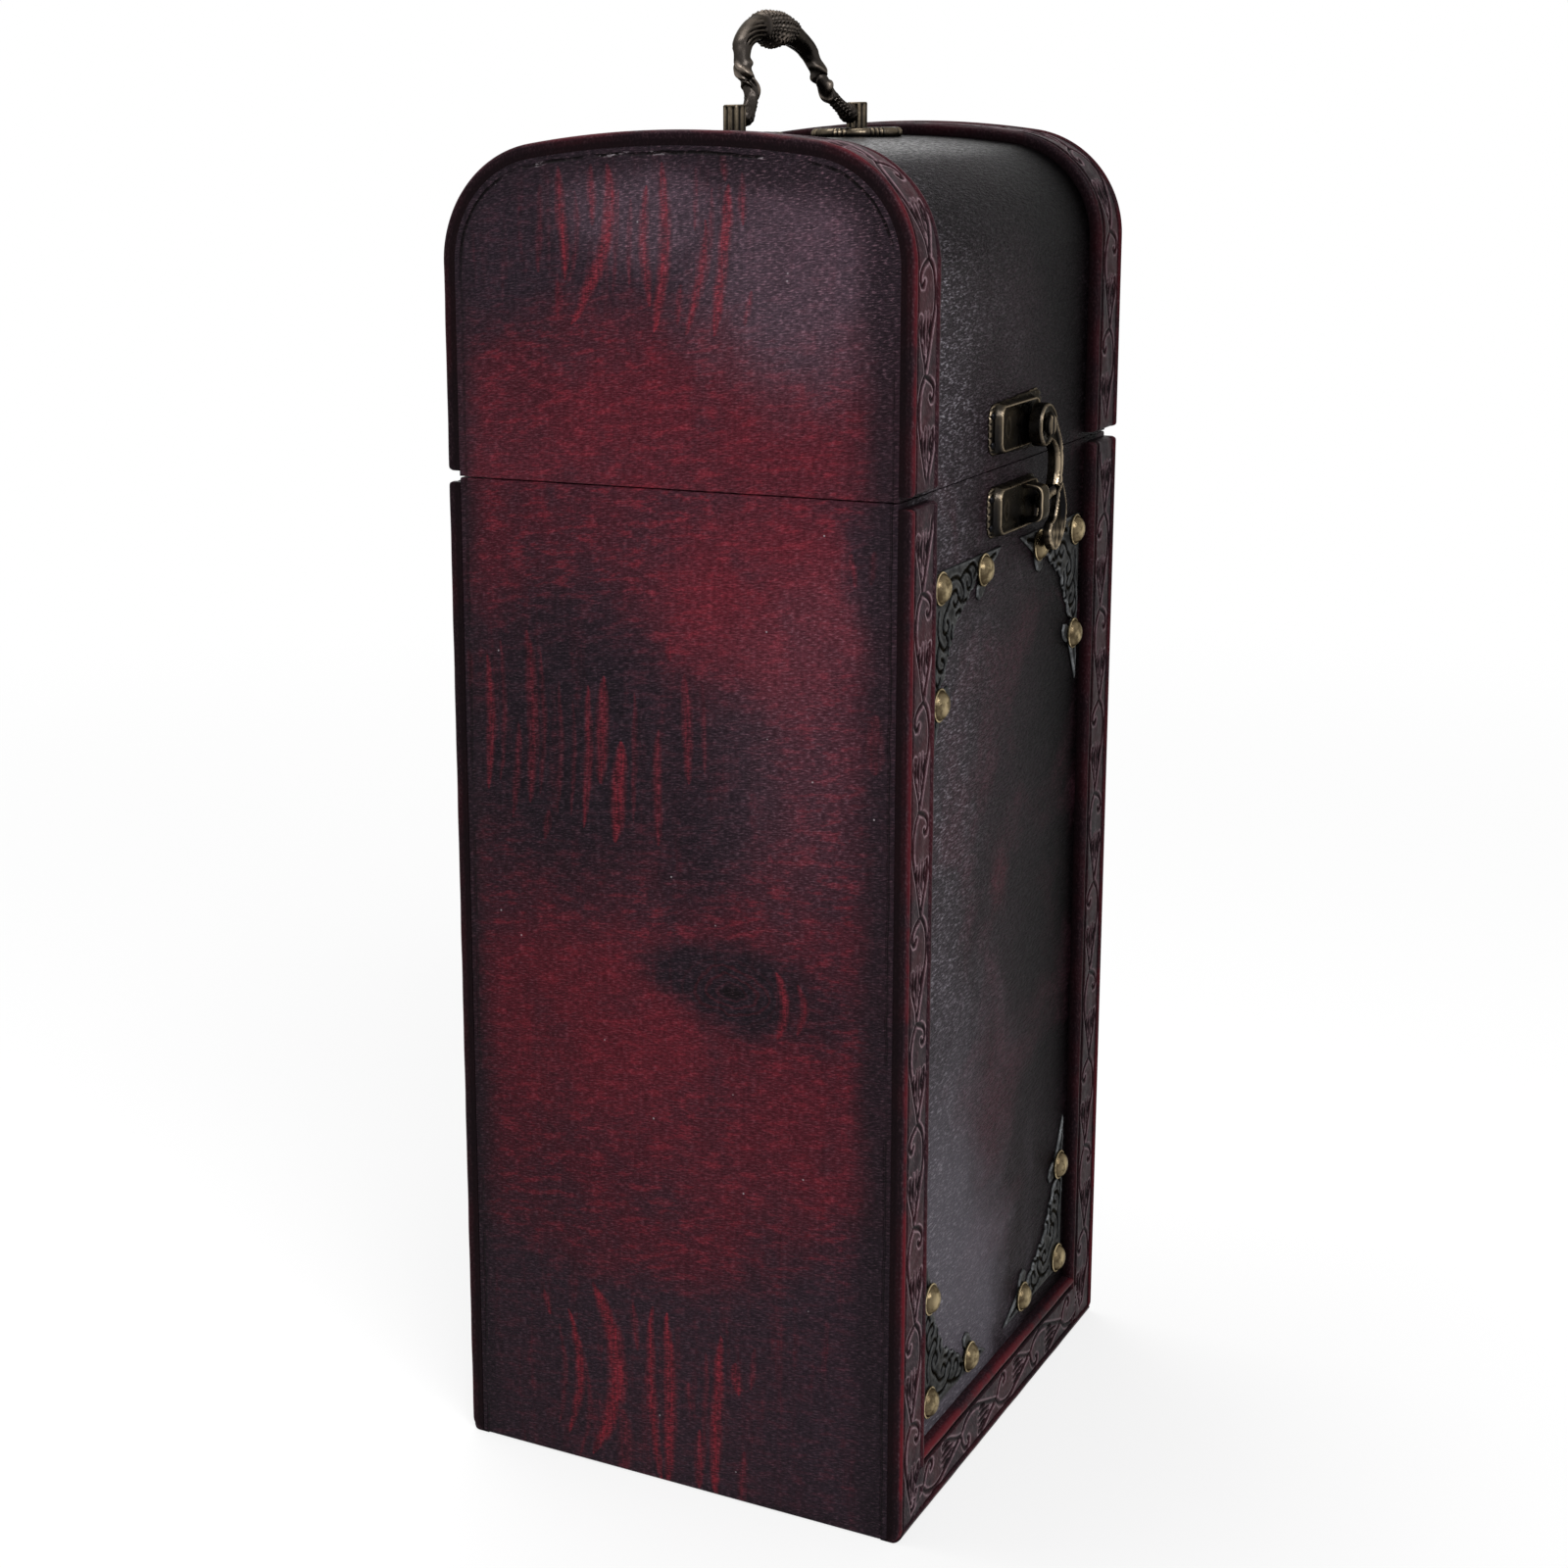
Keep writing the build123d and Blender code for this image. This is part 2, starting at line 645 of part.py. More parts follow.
# Latch
upper_plate = latch_plate(upper_plate_z)
lower_plate = latch_plate(lower_plate_z) + bridge()
pins = {"upper": [], "lower": []}
for name, z_middle in (("upper", upper_plate_z), ("lower", lower_plate_z)):
    for x, z in latch_pin_places(z_middle):
        size = (latch_pin_radius, latch_pin_length, latch_pin_head, latch_pin_head_height)
        pin = nail(x, z, -face_y, *size, latch_flange)
        pins[name].append(pin.solids()[0])
        hole = nail_hole(x, z, -face_y, latch_pin_radius, latch_pin_length, latch_flange)
        if name == "upper":
            upper_plate -= hole
            lid_sheet -= hole
        else:
            lower_plate -= hole
            front_board -= hole
rivet_x, rivet_z = polar(0, 0)
rivet_low = (rivet_x, -face_y, rivet_z)
rivet_high = (rivet_x, -face_y - latch_body_height, rivet_z)
parts["latch_upper_plate"] = upper_plate - rod(rivet_low, rivet_high, rivet_radius + fastener_clearance)
parts["latch_lower_plate"] = lower_plate
parts["latch_hook"] = latch_hook()
parts["latch_rivet"] = latch_rivet()
parts["latch_upper_pins"] = Compound(children=pins["upper"])
parts["latch_lower_pins"] = Compound(children=pins["lower"])

# Handle
screws = []
for name, x in post_places.items():
    parts["handle_" + name + "_rosette"] = rosette(x)
    parts["handle_" + name + "_post"] = post(x)
    screws.append(handle_screw(x).solids()[0])
    hole = handle_screw_radius + fastener_clearance
    lid_sheet -= rod((x, 0, lid_top - 2 * shell_thickness), (x, 0, lid_top + 1), hole)
parts["handle_bail"] = bail()
parts["handle_screws"] = Compound(children=screws)

# Hinges
hinge_screws = {1: [], -1: []}
for name, x in hinge_places.items():
    parts["hinge_" + name + "_lid_leaf"] = hinge_leaf(x, 1)
    parts["hinge_" + name + "_box_leaf"] = hinge_leaf(x, -1)
    parts["hinge_" + name + "_pin"] = hinge_pin(x)
    for side in (1, -1):
        for sx, z in hinge_screw_places(x, side):
            hinge_screws[side].append(hinge_screw(sx, z).solids()[0])
            if side > 0:
                lid_sheet -= hinge_screw_hole(sx, z)
            else:
                back_board -= hinge_screw_hole(sx, z)
parts["hinge_lid_screws"] = Compound(children=hinge_screws[1])
parts["hinge_box_screws"] = Compound(children=hinge_screws[-1])

parts["front_panel"] = front_board
parts["back_panel"] = back_board
parts["lid_shell"] = lid_sheet

os.makedirs("parts", exist_ok=True)
for node, shape in parts.items():
    export_step(shape, os.path.join("parts", node + ".step"))
    box = shape.bounding_box()
    print(node, len(shape.solids()), [round(v, 2) for v in (*box.min, *box.max)])
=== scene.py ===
from math import atan2, ceil, cos, pi, radians, sin, sqrt, tau

import bmesh
import bpy
import numpy as np
from bpy.props import FloatProperty, FloatVectorProperty, PointerProperty
from bpy.types import Operator, Panel, PropertyGroup
from mathutils import Euler, Matrix, Vector


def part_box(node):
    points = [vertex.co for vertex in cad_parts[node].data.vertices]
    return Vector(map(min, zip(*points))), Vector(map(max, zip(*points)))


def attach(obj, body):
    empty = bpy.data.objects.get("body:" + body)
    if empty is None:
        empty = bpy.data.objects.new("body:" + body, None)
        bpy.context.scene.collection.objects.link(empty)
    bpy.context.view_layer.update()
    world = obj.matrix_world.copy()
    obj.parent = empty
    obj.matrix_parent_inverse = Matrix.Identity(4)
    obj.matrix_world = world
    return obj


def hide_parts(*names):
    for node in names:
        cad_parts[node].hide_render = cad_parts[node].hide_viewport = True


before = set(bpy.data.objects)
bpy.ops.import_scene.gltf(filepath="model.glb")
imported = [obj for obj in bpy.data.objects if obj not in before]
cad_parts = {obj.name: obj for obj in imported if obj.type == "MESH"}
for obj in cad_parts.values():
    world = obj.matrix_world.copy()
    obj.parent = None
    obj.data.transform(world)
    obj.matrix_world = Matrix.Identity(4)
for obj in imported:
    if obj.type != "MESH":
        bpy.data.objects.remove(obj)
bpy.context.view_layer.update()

bl_info = {
    "name": "Wine Box",
    "version": (1, 0, 0),
    "blender": (4, 5, 0),
    "location": "View3D > Sidebar > Wine Box",
    "description": "Carved mouldings, corner plates, latch, handle and stained boards for a wooden wine box",
    "category": "Object",
}

MM = 0.001
HANDS = ((-1, "left"), (1, "right"))


def box_mm(node):
    """The low and the high corner of a CAD node's box, in millimetres."""
    return [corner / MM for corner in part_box(node)]


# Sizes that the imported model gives, in millimetres
BOX_LOW, BOX_HIGH = box_mm("left_side_panel")
LID_LOW, LID_HIGH = box_mm("lid_left_moulding")
BAND_LOW, BAND_HIGH = box_mm("front_left_moulding")
HALF_WIDTH, HALF_DEPTH = -BOX_LOW.x, -BAND_LOW.y
FACE_Y = -BAND_HIGH.y
STRIP_WIDTH = BAND_HIGH.x - BAND_LOW.x
STRIP_THICKNESS = BAND_HIGH.y - BAND_LOW.y
SEAM = BOX_HIGH.z + 0.15
CASE_TOP = LID_HIGH.z
CORNER_RADIUS, CROWN_RADIUS = 28.0, 246.0


def linear(*screen):
    """A colour as it looks on a screen, 0 to 255, as the linear colour that a shader takes."""
    parts = [value / 255 for value in screen]
    return tuple(part / 12.92 if part <= 0.04045 else ((part + 0.055) / 1.055) ** 2.4 for part in parts)


def mixed(first, second, share):
    return tuple(a + (b - a) * share for a, b in zip(first, second))


BLACK = (0.0, 0.0, 0.0)


def colour(name, description, *screen):
    return FloatVectorProperty(
        name=name, description=description, subtype="COLOR", size=3, min=0.0, max=1.0, default=linear(*screen)
    )


def number(name, description, default, **limits):
    return FloatProperty(name=name, description=description, default=default, **limits)


class StainSettings(PropertyGroup):
    smoke: colour("Smoke", "The nearly black patches and borders of the stain", 42, 34, 42)
    wine: colour("Wine", "The dark red that covers most of the side boards", 72, 29, 38)
    streak: colour("Streak", "The bright red of the wavy streaks", 118, 33, 43)
    # Haze: a painted reflection, the pale sheen painted on the near part of the front and on the lid sheet
    painted_sheen: colour("Haze", "The paler bloom on the near part of the front and the lid sheet", 50, 44, 49)
    charcoal: colour("Charcoal", "The nearly black front, back and lid sheet", 27, 19, 23)
    gloss: number("Gloss roughness", "Roughness of the lacquer", 0.36, min=0.05, max=1.0, subtype="FACTOR")


class MouldingSettings(PropertyGroup):
    band: colour("Band", "The carved band of the mouldings", 33, 22, 27)
    bead: colour("Bead", "The rubbed crimson of the beads", 82, 22, 29)
    shadow: colour("Shadow", "The dark paint that sits in the grooves", 14, 8, 10)
    bay: number("Bay (mm)", "Length of one bay of the carved vine", 25.5, min=10.0, max=60.0)
    step: number("Step (mm)", "Spacing of the carved surface's points", 0.32, min=0.15, max=2.0)
    line_depth: number("Line depth (mm)", "Depth of the engraved vine", 0.6, min=0.0, max=1.0)
    gouge_depth: number("Gouge depth (mm)", "Depth of the bud's gouges", 0.85, min=0.0, max=1.3)


class StageSettings(PropertyGroup):
    place: FloatVectorProperty(
        name="Camera place", description="Where the camera stands", subtype="TRANSLATION", unit="LENGTH",
        default=(-0.60538, -0.2759, 0.34038),
    )
    azimuth: number("Azimuth", "Camera's bearing, in degrees", -59.323)
    elevation: number("Elevation", "Camera's height angle, in degrees", 12.417)
    roll: number("Roll", "Camera's roll, in degrees", -1.158)
    lens: number("Lens (mm)", "Focal length on a 36 mm sensor", 59.854, min=10.0)
    shift_x: number("Shift X", "Sideways shift of the frame", 0.16747)
    shift_y: number("Shift Y", "Upward shift of the frame", -0.065)
    daylight: number("Daylight", "Strength of the even light", 0.45, min=0.0)


# Shader helpers


class Wire:
    """An output of a node tree.

    Sums, products and so on of wires are math nodes, and a | b is the greater of two.
    """

    def __init__(self, graph, socket):
        self.graph, self.socket = graph, socket

    def __add__(self, other):
        return self.graph.math("ADD", self, other)

    def __sub__(self, other):
        return self.graph.math("SUBTRACT", self, other)

    def __rsub__(self, other):
        return self.graph.math("SUBTRACT", other, self)

    def __mul__(self, other):
        return self.graph.math("MULTIPLY", self, other)

    def __truediv__(self, other):
        return self.graph.math("DIVIDE", self, other)

    def __pow__(self, other):
        return self.graph.math("POWER", self, other)

    def __or__(self, other):
        return self.graph.math("MAXIMUM", self, other)

    def __abs__(self):
        return self.graph.math("ABSOLUTE", self)

    def length(self):
        return self.graph.math("LENGTH", self)

    def clamped(self):
        self.socket.node.use_clamp = True
        return self

    def parts(self):
        made = self.graph.node("ShaderNodeSeparateXYZ", (self,))
        return [Wire(self.graph, socket) for socket in made.outputs]

    def dimmed(self, shade):
        return self * self.graph.join(shade, shade, shade)

    def spread(self, low, high, to_low=0.0, to_high=1.0):
        """A smooth step from to_low at low to to_high at high."""
        values = (self, low, high, to_low, to_high)
        return self.graph.wire("ShaderNodeMapRange", values, interpolation_type="SMOOTHSTEP")

    def noise(self, scale, detail=2.0, roughness=0.5, distortion=0.0, output="Fac"):
        values = {
            "Vector": self, "Scale": scale, "Detail": detail, "Roughness": roughness, "Distortion": distortion
        }
        return self.graph.wire("ShaderNodeTexNoise", values, output)


class Graph:
    """A node tree, with short calls for the nodes that the finishes here use."""

    def __init__(self, tree):
        self.tree = tree

    def node(self, kind, values=(), **settings):
        """A new node with settings, and wires or plain values on some of its inputs."""
        made = self.tree.nodes.new(kind)
        for key, value in settings.items():
            setattr(made, key, value)
        for key, value in values.items() if isinstance(values, dict) else enumerate(values):
            self.put(made.inputs[key], value)
        return made

    def put(self, socket, value):
        if isinstance(value, Wire):
            self.tree.links.new(value.socket, socket)
        elif socket.type == "RGBA" and len(value) == 3:
            socket.default_value = (*value, 1.0)
        elif socket.type == "VECTOR" and isinstance(value, float):
            socket.default_value = (value, value, value)
        else:
            socket.default_value = value

    def wire(self, kind, values=(), output=0, **settings):
        return Wire(self, self.node(kind, values, **settings).outputs[output])

    def math(self, operation, *values):
        wide = any(isinstance(value, Wire) and value.socket.type in ("VECTOR", "RGBA") for value in values)
        kind = "ShaderNodeVectorMath" if wide else "ShaderNodeMath"
        return self.wire(kind, values, "Value" if operation == "LENGTH" else 0, operation=operation)

    def mix(self, factor, first, second):
        return self.wire("ShaderNodeMix", {0: factor, 6: first, 7: second}, 2, data_type="RGBA")

    def join(self, x, y, z):
        return self.wire("ShaderNodeCombineXYZ", (x, y, z))

    def place(self):
        return self.wire("ShaderNodeTexCoord", output="Object")

    def attribute(self, name):
        return self.wire("ShaderNodeAttribute", output="Fac", attribute_name=name)

    def use(self, name, **values):
        """A shared group's outputs by their names."""
        made = self.node("ShaderNodeGroup", values, node_tree=shared(name))
        return {socket.name: Wire(self, socket) for socket in made.outputs}

    def finish(self, shader, height, distance, strength, **values):
        """Puts a bump and other values on a shader, with _ for the spaces of its inputs' names."""
        bump = {"Strength": strength, "Distance": distance, "Height": height}
        values["Normal"] = self.wire("ShaderNodeBump", bump)
        for key, value in values.items():
            self.put(shader.inputs[key.replace("_", " ")], value)


def fibre(g, vector, length, width, uneven):
    """Short lacquered wood fibres: a height and a shade."""
    x, y, z = vector.parts()
    grain = g.join(x * length, y * width, z * width).noise(1.0, 3.0, 0.65, 0.6)
    return grain + (vector.noise(60.0) - 0.5) * uneven, grain.spread(0.3, 0.72)


def specks(g, vector, spacing, size):
    """Tiny pale specks of dust, a mask."""
    cells = g.node("ShaderNodeTexVoronoi", {"Vector": vector, "Scale": spacing}, feature="F1").outputs
    return (g.math("LESS_THAN", Wire(g, cells["Distance"]), size * Wire(g, cells["Color"]).parts()[0]),)


def tarnish(g, vector, cloud, pit):
    """Cloudy tarnish on old brass and bronze: a mask and a fine height."""
    clouds, pits = vector.noise(cloud, 4.0, 0.62, 0.4), vector.noise(pit, 3.0, 0.6)
    return (clouds + pits * 0.25).spread(0.5, 0.78), pits * 0.5 + clouds


def streak(g, y, z, top_y, top_z, foot_y, foot_z, bow, width):
    """An upright streak that tapers to both ends and bows sideways, a mask. All sizes are in millimetres."""
    share = ((z - foot_z) / (top_z - foot_z)).clamped()
    hump = share * (1.0 - share) * 4.0
    gap = abs(y - (foot_y + (top_y - foot_y) * share + bow * hump))
    return ((gap / (width * g.math("SQRT", hump) + 0.001)).spread(1.6, 0.0),)


STREAK_SHAPE = ("Top Y", "Top Z", "Foot Y", "Foot Z", "Bow", "Width")
# What fills each shared group, its inputs with their defaults, and its outputs
GROUPS = {
    "Wood fibre": (
        fibre, {"Vector": None, "Length": 160.0, "Width": 1300.0, "Uneven": 0.5}, ("Height", "Shade")
    ),
    "Dust specks": (specks, {"Vector": None, "Spacing": 110.0, "Size": 0.035}, ("Mask",)),
    "Tarnish": (tarnish, {"Vector": None, "Cloud": 260.0, "Pit": 1500.0}, ("Mask", "Height")),
    "Streak": (streak, dict.fromkeys(("Y", "Z", *STREAK_SHAPE), 0.0), ("Mask",)),
}


def shared(name):
    """A shared node group, made at its first use."""
    if name in bpy.data.node_groups:
        return bpy.data.node_groups[name]
    fill, inputs, outputs = GROUPS[name]
    tree = bpy.data.node_groups.new(name, "ShaderNodeTree")
    for label, value in inputs.items():
        kind = "NodeSocketVector" if value is None else "NodeSocketFloat"
        socket = tree.interface.new_socket(label, in_out="INPUT", socket_type=kind)
        if value is not None:
            socket.default_value = value
    for label in outputs:
        tree.interface.new_socket(label, in_out="OUTPUT", socket_type="NodeSocketFloat")
    g = Graph(tree)
    given = g.node("NodeGroupInput").outputs
    g.node("NodeGroupOutput", fill(g, *(Wire(g, given[label]) for label in inputs)))
    return tree


# Finishes


def highest(first, *others):
    for other in others:
        first = first | other
    return first


def blob(place, centre, size, soft=0.45):
    """A soft oval patch on a side board, with its centre and half sizes in Y and Z."""
    offset = (place - (0.0, *centre)) * (0.0, 1 / size[0], 1 / size[1])
    return offset.length().spread(1.0 + soft, 1.0 - soft)


# In metres: where the lid side's round corner turns and its radius there, inside the moulding
TURN_Y, TURN_Z, TURN_RADIUS = 0.0365, 0.311, 0.0205
# In metres: how far in from the border the moulding's joint shows as a dark crack
JOINT = 0.0016
# Streaks of the side boards in millimetres: the streak group's shape, and how strong each is
STREAKS_LID = (
    (28.3, 327.5, 26.6, 301, 0, 1.3, 0.75), (19.5, 328, 19.6, 314, 0, 1.1, 0.6),
    (15.3, 328, 25.4, 291, -4.2, 1.7, 0.9), (17.8, 308, 23.1, 294, 0, 1.1, 0.5),
    (5.2, 323, 4.5, 296, 1.2, 1.3, 0.7), (1.1, 328, 3.9, 289, -1.8, 1.5, 0.9),
    (-14, 330, -14.7, 324, 0, 1, 0.8), (-15.6, 323.5, -11.9, 289, -0.5, 1.5, 1),
    (-9.8, 314.5, -4.7, 289, -1, 1.2, 0.75), (-18.9, 325, -18.9, 314, 0, 0.9, 0.6),
    (-21, 299, -19.6, 291, 0, 0.9, 0.5), (28.4, 300.5, 28.8, 293, 0, 1, 0.5),
    (-3.3, 301, -2.6, 291, 0, 0.9, 0.5), (9.5, 320, 10, 300, 0, 0.8, 0.35),
    (-7.5, 327, -7, 312, 0, 0.7, 0.35), (33, 323, 34, 303, 0, 0.9, 0.3), (24, 322, 26, 300, -1.5, 0.8, 0.3),
    (-0.5, 318, 1.5, 296, -1, 0.7, 0.3), (-11.5, 322, -9, 298, -0.5, 0.8, 0.3),
    (12.5, 322, 14, 298, 0, 0.7, 0.3),
)
STREAKS_BOX = (
    (50.5, 210, 50.9, 176, -1, 1.2, 0.7), (39, 217, 39.1, 173, -1.5, 1.6, 0.5),
    (42, 194, 44.2, 169, -0.6, 1, 0.4), (22.4, 205, 23.8, 169, -0.8, 1.1, 0.6),
    (17.8, 207, 19.1, 180, 0, 1.7, 0.65), (13.4, 192, 15, 166, 0, 1.8, 0.95),
    (3.4, 196, 3.5, 167, 0.2, 1.3, 0.5), (-3.9, 210, -4.8, 183, 0, 1.3, 0.5),
    (0.1, 218, 0.1, 212, 0, 1, 0.5), (33.6, 172, 34.8, 165, 0, 1, 0.4), (55.8, 211, 55.5, 201, 0, 1, 0.5),
    (-52.4, 205, -51.9, 191, 0, 2, 1), (-46, 241, -46.6, 234, 0, 0.8, 0.6),
    (-51.5, 242, -50.9, 235, 0, 0.9, 0.6), (-33, 138, -33, 125, -1.8, 1, 0.6),
    (-27.5, 140, -27.5, 123, -2.4, 1.2, 0.75), (37.5, 45, 35.9, 38, 0, 0.9, 0.6),
    (30.7, 41, 31.1, 6, -3.6, 1.3, 0.85), (23.2, 50, 23.7, 2, -6.8, 2.4, 0.95),
    (11.8, 47, 11, 34, 0, 0.9, 0.45), (6.5, 47, 4, -2, 1.6, 1.3, 0.75), (2.5, 46, 2.7, -2, -1, 1.7, 0.85),
    (-12.7, 43, -11.1, -2, 0.6, 1.6, 0.85), (-16.5, 37, -17.4, 29, 0, 1.4, 0.7),
    (-21.7, 42, -20.9, 31, 0, 0.9, 0.35), (-6.6, 17, -6.2, 0, 0, 1.4, 0.6),
    (-3.6, 29, -4.3, 21, 0, 0.9, 0.35), (15, 16, 16, -4, -1, 2.2, 0.4), (-19, 14, -18, -4, 0, 1.2, 0.4),
    (46.5, 214, 47.2, 178, -1, 0.8, 0.32), (35.5, 212, 35.9, 176, -1, 0.8, 0.34),
    (30.5, 205, 31.2, 172, -0.8, 0.8, 0.3), (9.5, 204, 10.3, 172, 0, 0.8, 0.32),
    (26.5, 200, 27.5, 172, -0.6, 0.7, 0.3), (-8.5, 208, -9, 186, 0, 0.8, 0.28),
    (33.5, 36, 33.9, 8, -2, 0.8, 0.32), (19.5, 44, 19, 8, -3, 0.8, 0.32), (-8.5, 38, -8, 8, 0, 0.8, 0.32),
    (27.5, 32, 28, 0, -3, 0.8, 0.3),
)


def side_stain(g, shader, lid):
    """The stained side board: wine red, smoky patches, bright streaks, burnt borders, painted sheen and
    glints.
    """
    stain = bpy.context.scene.wine_box_stain
    place = g.place()
    x, y, z = place.parts()
    y = y * (g.math("SIGN", x) * -1.0)
    flat = g.join(0.0, y * 1000.0, z * 1000.0)
    drift = flat.noise(0.045, 4.0, 0.6, 0.3, "Color")
    small = flat.noise(0.16, 2.0, 0.5, 0.0, "Color")
    bent = flat + (drift - 0.5) * (0.0, 22.0, 26.0)
    bent_y, bent_z = bent.parts()[1:]
    wavy_y, wavy_z = (flat + (small - 0.5) * (0.0, 1.5, 3.0)).parts()[1:]
    cloud = drift.parts()[0]
    fibres = g.use("Wood fibre", Vector=g.join(y, 0.0, z), Length=210.0, Width=1500.0, Uneven=0.6)

    # Where it is dark, where the red is brighter, where soot lies, and where the painted reflection (a pale
    # sheen) lies
    if lid:
        dark = bent_z.spread(282.0, 302.0) * (1.0 - blob(bent, (-44, 300), (26, 26)) * 0.25)
        glow = bent_z.spread(296.0, 264.0) * 0.6
        soot = blob(bent, (40, 300), (16, 34)) * 0.4
        sheen_patches = blob(bent, (-32, 304), (26, 26), 0.6) | blob(bent, (6, 314), (20, 11), 0.6)
        depth = 1.0
    else:
        patch = blob(bent, (27, 191), (34, 37)) | blob(bent, (-6, 183), (21, 28)) * 0.9
        top_right = blob(bent, (-52, 238), (9, 12)) * 0.8
        step = ((-6.0 - flat.parts()[1]) | 0.0) * 0.5
        foot = (bent_z - 60.0 - step).spread(5.0, -14.0, 0.0, 0.92)
        eye = flat + (small - 0.5) * (0.0, 6.0, 5.0)
        knot = blob(eye, (-18, 134), (17, 11), 0.4) | blob(eye, (-8, 136), (16, 7), 0.45)
        knot = knot | blob(eye, (-34, 131), (12, 8), 0.5) * 0.6
        dark = highest(patch, top_right, foot, knot)
        glow = blob(bent, (-26, 226), (28, 24)) | blob(bent, (20, 118), (34, 26))
        glow = glow | blob(bent, (-20, 95), (30, 22)) * 0.6
        soot = knot | patch * 0.95
        sheen_patches = blob(bent, (-32, 192), (18, 34), 0.6) | blob(bent, (-40, 222), (12, 16), 0.6)
        depth = bent_z.spread(110.0, 215.0, 0.82, 1.04) * bent_y.spread(0.0, 42.0, 1.0, 0.82)
    dark = dark | cloud.spread(0.5, 0.72, 0.0, 0.5)

    # Brush marks, and the streaks that they break up
    tilted = z + y * 0.12
    dash = g.join(0.0, y * 720.0, tilted * 2700.0).noise(1.0, 2.5, 0.62)
    mottle = g.join(0.0, y * 160.0, tilted * 560.0).noise(1.0, 5.0, 0.68)
    threads = g.join(0.0, y * 1500.0, z * 130.0).noise(1.0, 3.0, 0.6)
    marks = []
    for *shape, strength in STREAKS_LID if lid else STREAKS_BOX:
        marks.append(g.use("Streak", Y=wavy_y, Z=wavy_z, **dict(zip(STREAK_SHAPE, shape)))["Mask"] * strength)
    marks = (highest(*marks) ** 1.15 * 1.35).clamped()
    marks = marks * threads.spread(0.36, 0.58, 0.5, 1.0) * (dash + mottle).spread(0.8, 1.1, 0.4, 1.0)
    lanes = g.join(g.math("SIGN", x), wavy_y * 0.3, wavy_z * 0.035).noise(1.0, 3.0)

    # Borders burnt dark, more on the front edge, and the joint of the moulding, in metres
    edge_y = (HALF_DEPTH - STRIP_THICKNESS) * MM - abs(y)
    if lid:
        over_y = (abs(y) - TURN_Y) | 0.0
        over_z = (z + y ** 2.0 * 2.06 - TURN_Z) | 0.0
        edge = g.math("MINIMUM", TURN_RADIUS - g.join(over_y, over_z, 0.0).length(), edge_y)
    else:
        edge = g.math("MINIMUM", edge_y, z + 0.006)
    rough_edge = edge - y.spread(0.02, -0.04, 0.0, 0.0045) + (cloud - 0.5) * 0.01
    burnt = rough_edge.spread(0.0095 if lid else 0.0085, -0.0005)
    crack_at = abs(edge + (small.parts()[2] - 0.5) * 0.0011 - JOINT)
    crack = crack_at.spread(0.00046, 0.00012) * cloud.spread(0.4, 0.5)
    crack = crack * (z.spread(0.296, 0.312, 0.2, 1.0) if lid else 0.35)

    red = mixed(stain.wine, stain.streak, 0.5)
    wine = g.mix(drift.parts()[1].spread(0.36, 0.62), mixed(stain.wine, stain.smoke, 0.5), stain.wine)
    wine = g.mix(glow * 0.55, wine, red)
    wine = g.mix(mottle.spread(0.49, 0.63, 0.0, 0.52), wine, mixed(stain.wine, stain.streak, 0.7))
    faint = lanes.spread(0.5, 0.72, 0.0, 0.5) * threads.spread(0.35, 0.62, 0.2, 1.0)
    base = g.mix(dark * (1.0 - faint) * mottle.spread(0.35, 0.7, 0.98, 0.84), wine, stain.smoke)
    base = g.mix(soot * mottle.spread(0.35, 0.65, 0.75, 0.4), base, mixed(stain.smoke, BLACK, 0.6))
    # Painted reflection: a pale sheen painted into the colour in soft patches, stronger on the lid
    sheen_share = sheen_patches * (0.62 if lid else 0.27)
    base = g.mix(sheen_share, base, linear(80, 66, 76) if lid else linear(74, 55, 64))
    base = g.mix(burnt * 0.92, base, mixed(stain.smoke, stain.charcoal, 0.6))
    strength = 0.7 if lid else bent_z.spread(90.0, 150.0, 0.85, 0.7)
    base = g.mix(marks * (1.0 - burnt * 0.8) * strength, base, stain.streak)
    if not lid:
        base = knot_rings(g, eye, base, stain)
    grit = dash.spread(0.34, 0.66, 0.66, 1.34) * mottle.spread(0.34, 0.68, 0.84, 1.16)
    base = base.dimmed(grit * threads.spread(0.3, 0.7, 0.9, 1.1) * depth)
    base = g.mix(crack * 0.95, base, (0.002, 0.0012, 0.0014))
    if lid:
        chips = crack_at.spread(0.0007, 0.0003) * mottle.spread(0.6, 0.64) * z.spread(0.314, 0.322, 0.0, 0.8)
        base = g.mix(chips, base, linear(150, 140, 146))
    # Painted glints: pale highlights painted on the brush marks, more where the painted sheen lies
    base = g.mix(dash.spread(0.54, 0.72) * (sheen_share * 0.6 + 0.12), base, linear(146, 112, 124))
    dust = g.use("Dust specks", Vector=place, Spacing=100.0, Size=0.028)["Mask"]
    base = g.mix(dust * 0.6, base, (0.36, 0.32, 0.34))
    g.finish(
        shader, fibres["Height"] + dash + crack * -3.0, 0.0005, 1.0, Base_Color=base,
        Roughness=fibres["Shade"] * 0.1 + stain.gloss, Specular_IOR_Level=0.035,
    )


def knot_rings(g, place, base, stain):
    """The dark heart and the faint rings of the knot, on the box's side boards."""
    away = ((place - (0.0, -15.5, 133.0)) * (0.0, 1.0, 1.6)).length()
    band = away.spread(15.0, 9.0) * away.spread(3.0, 4.5)
    base = g.mix(g.math("SINE", away * 2.1).spread(0.2, 0.9) * band * 0.12, base, stain.streak)
    return g.mix(away.spread(4.0, 2.0, 0.0, 0.85), base, (0.006, 0.004, 0.0045))


